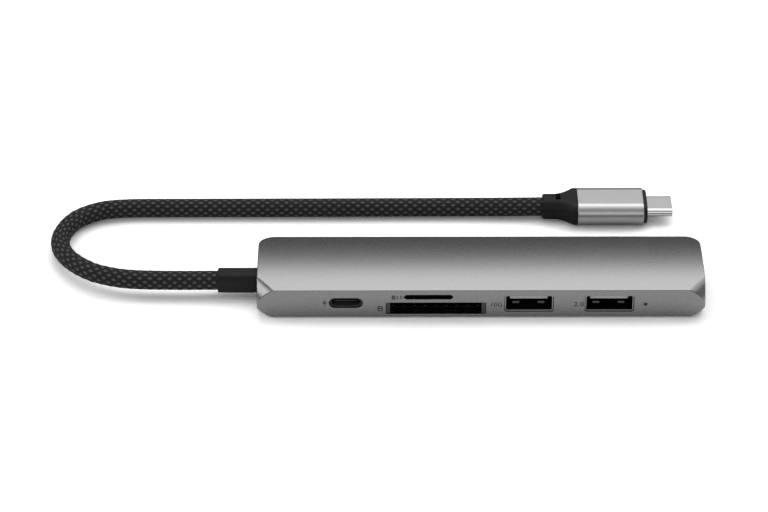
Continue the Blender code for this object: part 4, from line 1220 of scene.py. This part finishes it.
class HUB_OT_power_port(bpy.types.Operator):
    """Make the power port: sleeve, lining, tongue, the plate on its front and its contacts"""

    bl_idname = "hub.power_port"
    bl_label = "Power port"

    def execute(self, context):
        x, z, width, height = POWER_PORT
        face = -context.scene.hub_housing.deep / 2
        front, end = face + 0.3 * MM, face + PORT_RECESS + 8.5 * MM
        size = width - 2 * SLIP, height - 2 * SLIP
        shape = rectangle(*size, (x, z)), size[1] / 2 - 0.02 * MM
        shell = Shell().grid(sleeve(*shape, front, end, SHEET), close_rows=True)
        add_piece("power_sleeve", shell, "black_steel", "steel", "power_port_shell")
        walls = Shell().grid(lining(*shape, front, end - 1.9 * MM, SHEET), close_rows=True)
        add_piece("power_lining", walls, "dark_grey_plastic", "black_plastic")
        plate = Shell().solid(
            bar(face + 0.95 * MM, end - MM, 5.8 * MM, 0.12 * MM, 0.03 * MM, (x, z + 0.2 * MM))
        )
        add_piece("power_plate", plate, "dark_steel", "steel")
        tongue = Shell().solid(plug(*shape, end - 2 * MM, end - SLIP, SHEET))
        tongue.solid(bar(face + MM, end - MM, 6.7 * MM, 0.7 * MM, 0.15 * MM, (x, z)))
        add_piece("power_tongue", tongue, "dull_black_plastic", "black_plastic", "power_port_tongue")
        places = [place for row in (-1, 1) for place in spread(12, 0.5 * MM, x, z + row * 0.35 * MM)]
        contacts = bars(places, face + 2 * MM, end - 2 * MM, 0.26 * MM, 0.06 * MM, 0.02 * MM, steps=2)
        add_piece("power_contacts", contacts, "gold_flash", "gold_contacts")
        return {"FINISHED"}


class HUB_OT_data_ports(bpy.types.Operator):
    """Make the two data ports: sleeve, base with its lining, tongue, contacts and spring tabs"""

    bl_idname = "hub.data_ports"
    bl_label = "Data ports"

    def execute(self, context):
        front = -context.scene.hub_housing.deep / 2 + PORT_RECESS
        for number, port in enumerate(DATA_PORTS, 1):
            self.port(number, port, front, front + 13 * MM)
        return {"FINISHED"}

    def port(self, number, port, front, end):
        x, z, width, height = port
        node_name = f"data_port_{number}_"
        shape = rectangle(width - 2 * SLIP, height - 2 * SLIP, (x, z)), 0.6 * MM
        shell = Shell().grid(sleeve(*shape, front, end, DATA_SHEET), close_rows=True)
        add_piece(f"data_sleeve_{number}", shell, "rolled_steel", "steel", node_name + "shell")
        base = Shell().solid(plug(*shape, end - 3.5 * MM, end - SLIP, DATA_SHEET))
        base.grid(lining(*shape, front, end - 3.4 * MM, DATA_SHEET), close_rows=True)
        add_piece(f"data_base_{number}", base, "dull_black_plastic", "black_plastic")
        size = 10.4 * MM, 1.65 * MM, 0.15 * MM
        tongue = Shell().solid(bar(front + 1.9 * MM, end - 2 * MM, *size, (x, z + 0.925 * MM)))
        add_piece(f"data_tongue_{number}", tongue, "grey_plastic", "grey_plastic", node_name + "tongue")
        size = front + 2.7 * MM, end - 3.6 * MM, 1.0 * MM, 0.14 * MM, 0.04 * MM
        contacts = bars(spread(4, 2.5 * MM, x, z + 0.06 * MM), *size, steps=3)
        add_piece(f"data_contacts_{number}", contacts, "gold_flash", "gold_contacts", node_name + "contacts")
        tabs = Shell()
        low = z - height / 2 + SLIP + DATA_SHEET
        for side in (-1, 1):
            tabs.solid(self.tab(x + side * 3.45 * MM, low, front))
        add_piece(f"data_tabs_{number}", tabs, "dark_steel", "steel")

    def tab(self, x, low, front):
        """A spring tab: a strip that rises steeply from the floor and sinks slowly behind."""
        steep, slow, tall = 0.35, 2.15, 0.6
        d = ladder((steep, 0.05), (steep + slow, 0.2)) / MM
        rise = np.sin(np.clip(d / steep, 0, 1) * np.pi / 2)
        fall = np.cos(np.clip((d - steep) / slow, 0, 1) * np.pi / 2)
        rings = np.tile(rectangle(1.84 * MM, 0.16 * MM, (x, low)), (len(d), 1, 1))
        rings[..., 1] += ((0.02 + tall * rise * fall) * MM)[:, None]
        return set_along("Y", front + (2.9 + d) * MM, rings)


class HUB_OT_card_slots(bpy.types.Operator):
    """Make the card sockets: trays, the large socket's guides and its contacts"""

    bl_idname = "hub.card_slots"
    bl_label = "Card slots"

    def execute(self, context):
        face = -context.scene.hub_housing.deep / 2
        self.large(face)
        self.small(face)
        return {"FINISHED"}

    def large(self, face):
        """A tray with a floor and a back, a guide on each side, and nine contacts with flat fronts."""
        x, z, width, height = LARGE_CARD
        end, middle, tall, wide = face + 20 * MM, 3.165 * MM, 3.13 * MM, width - 2.3 * MM
        tray = Shell().solid(bar(face + 2.5 * MM, end, wide, 0.5 * MM, 0.05 * MM, (x, 1.85 * MM)))
        tray.solid(bar(end - 1.5 * MM, end, wide, tall, 0.05 * MM, (x, middle)))
        add_piece("card_tray", tray, "dull_black_plastic", "black_plastic", "large_card_body")
        guides = Shell()
        for side in (-1, 1):
            at = x + side * (width / 2 - 0.6 * MM)
            guides.solid(bar(face + 1.3 * MM, end, 1.2 * MM, tall, 0.1 * MM, (at, middle)))
            size = 1.15 * MM, height - 0.1 * MM, 0.1 * MM
            guides.solid(bar(face + 0.3 * MM, face + 1.45 * MM, *size, (at, z)))
        add_piece("card_guides", guides, "dark_grey_plastic", "black_plastic")
        size = face + 2.4 * MM, end - 2 * MM, 0.87 * MM, 0.36 * MM, 0.04 * MM
        contacts = bars(spread(9, 2.9 * MM, x, 2.46 * MM), *size, steps=3)
        add_piece("card_contacts", contacts, "black_steel", "steel", "large_card_contacts")

    def small(self, face):
        """A tray with a floor, two guides and an apron in front of the board."""
        x, _, width, _ = SMALL_CARD
        start, end, edge = face + 1.5 * MM, face + 15 * MM, 0.04 * MM
        tray = Shell().solid(bar(start, end, width, 0.3 * MM, edge, (x, 6.67 * MM)))
        tray.solid(bar(face + 1.3 * MM, face + 1.6 * MM, width + MM, 1.1 * MM, edge, (x, 6.05 * MM)))
        for side in (-1, 1):
            at = x + side * (width / 2 - 0.5 * MM)
            tray.solid(bar(start, end, MM, 0.9 * MM, edge, (at, 7.0 * MM)))
        add_piece("small_card_tray", tray, "dull_black_plastic", "black_plastic", "small_card_body")


class HUB_OT_video_port(bpy.types.Operator):
    """Make the video port on the back: sleeve, tongue and contacts"""

    bl_idname = "hub.video_port"
    bl_label = "Video port"

    def execute(self, context):
        x, z, width, height = VIDEO_PORT
        outer = context.scene.hub_housing.deep / 2 - PORT_RECESS
        inner = outer - 10.9 * MM
        shape = slanted_port(width - 2 * SLIP, height - 2 * SLIP, (x, z)), 0.4 * MM
        wall = sleeve(*shape, -outer, -inner, SHEET)
        wall[..., 1] *= -1
        shell = Shell().grid(wall, close_rows=True)
        add_piece("video_sleeve", shell, "rolled_steel", "steel", "video_port_shell")
        tongue = Shell().solid(plug(*shape, inner + SLIP, inner + 3 * MM, SHEET))
        size = 11.2 * MM, 1.2 * MM, 0.2 * MM
        tongue.solid(bar(inner + 2 * MM, outer - 1.2 * MM, *size, (x, z + 0.7 * MM)))
        add_piece("video_tongue", tongue, "black_plastic", "black_plastic", "video_port_tongue")
        places = spread(10, MM, x, z + 0.1 * MM) + spread(9, MM, x, z + 1.3 * MM)
        contacts = bars(places, inner + 3 * MM, outer - 1.8 * MM, 0.4 * MM, 0.1 * MM, 0.03 * MM, steps=2)
        add_piece("video_contacts", contacts, "gold_flash", "gold_contacts")
        return {"FINISHED"}


# Marks


def lettering(text, height, centre, face):
    """Plain characters as a flat mesh on the port face, centred on a place (x, z)."""
    curve = bpy.data.curves.new("lettering", "FONT")
    curve.body = text
    curve.offset = 0.02
    curve.space_character = 1.12
    flat = bpy.data.objects.new("lettering", curve)
    bpy.context.scene.collection.objects.link(flat)
    graph = bpy.context.evaluated_depsgraph_get()
    mesh = bpy.data.meshes.new_from_object(flat.evaluated_get(graph))
    bpy.data.objects.remove(flat)
    bpy.data.curves.remove(curve)
    points = np.zeros(len(mesh.vertices) * 3, np.float32)
    mesh.vertices.foreach_get("co", points)
    points = points.reshape(-1, 3)
    low, high = points.min(0), points.max(0)
    scale = height / (high[1] - low[1])
    place = Matrix.Translation((centre[0], face, centre[1])) @ Matrix.Rotation(math.pi / 2, 4, "X")
    mesh.transform(place @ Matrix.Scale(scale, 4) @ Matrix.Translation(Vector(-(low + high) / 2)))
    return mesh


def sign(polygons, centre, face):
    """Flat polygons (x, z), in millimetres, set on the port face round a place."""
    points, faces = [], []
    for polygon in polygons:
        faces.append(list(range(len(points), len(points) + len(polygon))))
        points += [(centre[0] + u * MM, face, centre[1] + v * MM) for u, v in polygon]
    mesh = bpy.data.meshes.new("sign")
    mesh.from_pydata(points, [], faces)
    return mesh


BOLT = [[(0.14, 1.12), (-0.64, -0.16), (-0.05, -0.16), (-0.18, -1.12), (0.64, 0.21), (0.03, 0.21)]]
SMALL_SIGN = [
    [(-0.5, -0.68), (0.5, -0.68), (0.5, -0.3), (-0.5, -0.3)],
    [(-0.5, -0.22), (0.5, -0.22), (0.5, 0.16), (-0.5, 0.16)],
    [(-0.5, 0.24), (0.5, 0.24), (0.5, 0.44), (0.24, 0.68), (-0.5, 0.68)],
]
LARGE_SIGN = [
    [(-0.72, -0.84), (-0.42, -0.84), (-0.42, 0.84), (-0.72, 0.84)],
    [(0.42, -0.84), (0.72, -0.84), (0.72, 0.5), (0.42, 0.8)],
    [(-0.42, 0.54), (0.66, 0.54), (0.36, 0.84), (-0.42, 0.84)],
    [(-0.42, -0.2), (0.42, -0.2), (0.42, 0.3), (-0.42, 0.3)],
    [(-0.42, -0.84), (0.42, -0.84), (0.42, -0.54), (-0.42, -0.54)],
]


class HUB_OT_marks(bpy.types.Operator):
    """Print the plain signs and numbers beside the ports"""

    bl_idname = "hub.marks"
    bl_label = "Marks"

    def execute(self, context):
        face = -context.scene.hub_housing.deep / 2 - MARK_GAP
        meshes = {
            "mark_power": sign(BOLT, (-42.8 * MM, 5.2 * MM), face),
            "mark_small_card": sign(SMALL_SIGN, (-23.97 * MM, 7.0 * MM), face),
            "mark_large_card": sign(LARGE_SIGN, (-27.6 * MM, 3.27 * MM), face),
            "mark_small_number": lettering("3.0", 1.0 * MM, (-22.4 * MM, 7.0 * MM), face),
            "mark_data_1": lettering("10G", 1.35 * MM, (4.3 * MM, 4.6 * MM), face),
            "mark_data_2": lettering("2.0", 1.5 * MM, (26.75 * MM, 4.72 * MM), face),
        }
        for name, mesh in meshes.items():
            add_piece(name, mesh, "etched_grey", "black_plastic")
        return {"FINISHED"}


# Finishes of the CAD nodes that stay


# Finish of each material slot whose finish has another name
SLOT_FINISHES = {
    "housing_metal": "blasted_grey_metal",
    "steel": "rolled_steel",
    "black_rubber": "satin_rubber",
    "gold_contacts": "gold_flash",
    "circuit_board": "solder_mask",
    "chip_black": "chip_package",
    "ferrite": "pressed_ferrite",
    "capacitor_case": "ochre_case",
    "thermal_pad": "soft_pad",
}


class HUB_OT_cad_finishes(bpy.types.Operator):
    """Give every CAD node that stays in view its finish"""

    bl_idname = "hub.cad_finishes"
    bl_label = "CAD finishes"

    def execute(self, context):
        slots = {row["node"]: row["material_slot"] for row in frame["record"]["subparts"]}
        for name, part in frame["nodes"].items():
            if not part.hide_render:
                slot = slots[name]
                part.data.materials.clear()
                part.data.materials.append(finish_of(SLOT_FINISHES.get(slot, slot)))
        return {"FINISHED"}


OPERATORS = (
    HUB_OT_stage,
    HUB_OT_plug,
    HUB_OT_cable,
    HUB_OT_housing,
    HUB_OT_power_port,
    HUB_OT_card_slots,
    HUB_OT_data_ports,
    HUB_OT_video_port,
    HUB_OT_marks,
    HUB_OT_cad_finishes,
)
SETTINGS = {
    "hub_housing": HousingSizes,
    "hub_cable": CableSizes,
    "hub_finishes": Finishes,
    "hub_stage": StageSettings,
}


class HUB_PT_panel(bpy.types.Panel):
    """Settings and pieces of the hub"""

    bl_idname = "HUB_PT_panel"
    bl_label = "Hub"
    bl_space_type = "VIEW_3D"
    bl_region_type = "UI"
    bl_category = "Hub"

    def draw(self, context):
        for name, group in SETTINGS.items():
            box = self.layout.box()
            settings = getattr(context.scene, name)
            for key in group.__annotations__:
                box.prop(settings, key)
        for operator in OPERATORS:
            self.layout.operator(operator.bl_idname)


CLASSES = (*SETTINGS.values(), *OPERATORS, HUB_PT_panel)


def register():
    for made in CLASSES:
        bpy.utils.register_class(made)
    for name, group in SETTINGS.items():
        setattr(bpy.types.Scene, name, PointerProperty(type=group))


def unregister():
    for name in SETTINGS:
        delattr(bpy.types.Scene, name)
    for made in reversed(CLASSES):
        bpy.utils.unregister_class(made)


def main():
    register()
    for operator in OPERATORS:
        group, name = operator.bl_idname.split(".")
        getattr(getattr(bpy.ops, group), name)()
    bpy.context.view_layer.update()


if __name__ == "__main__":
    main()
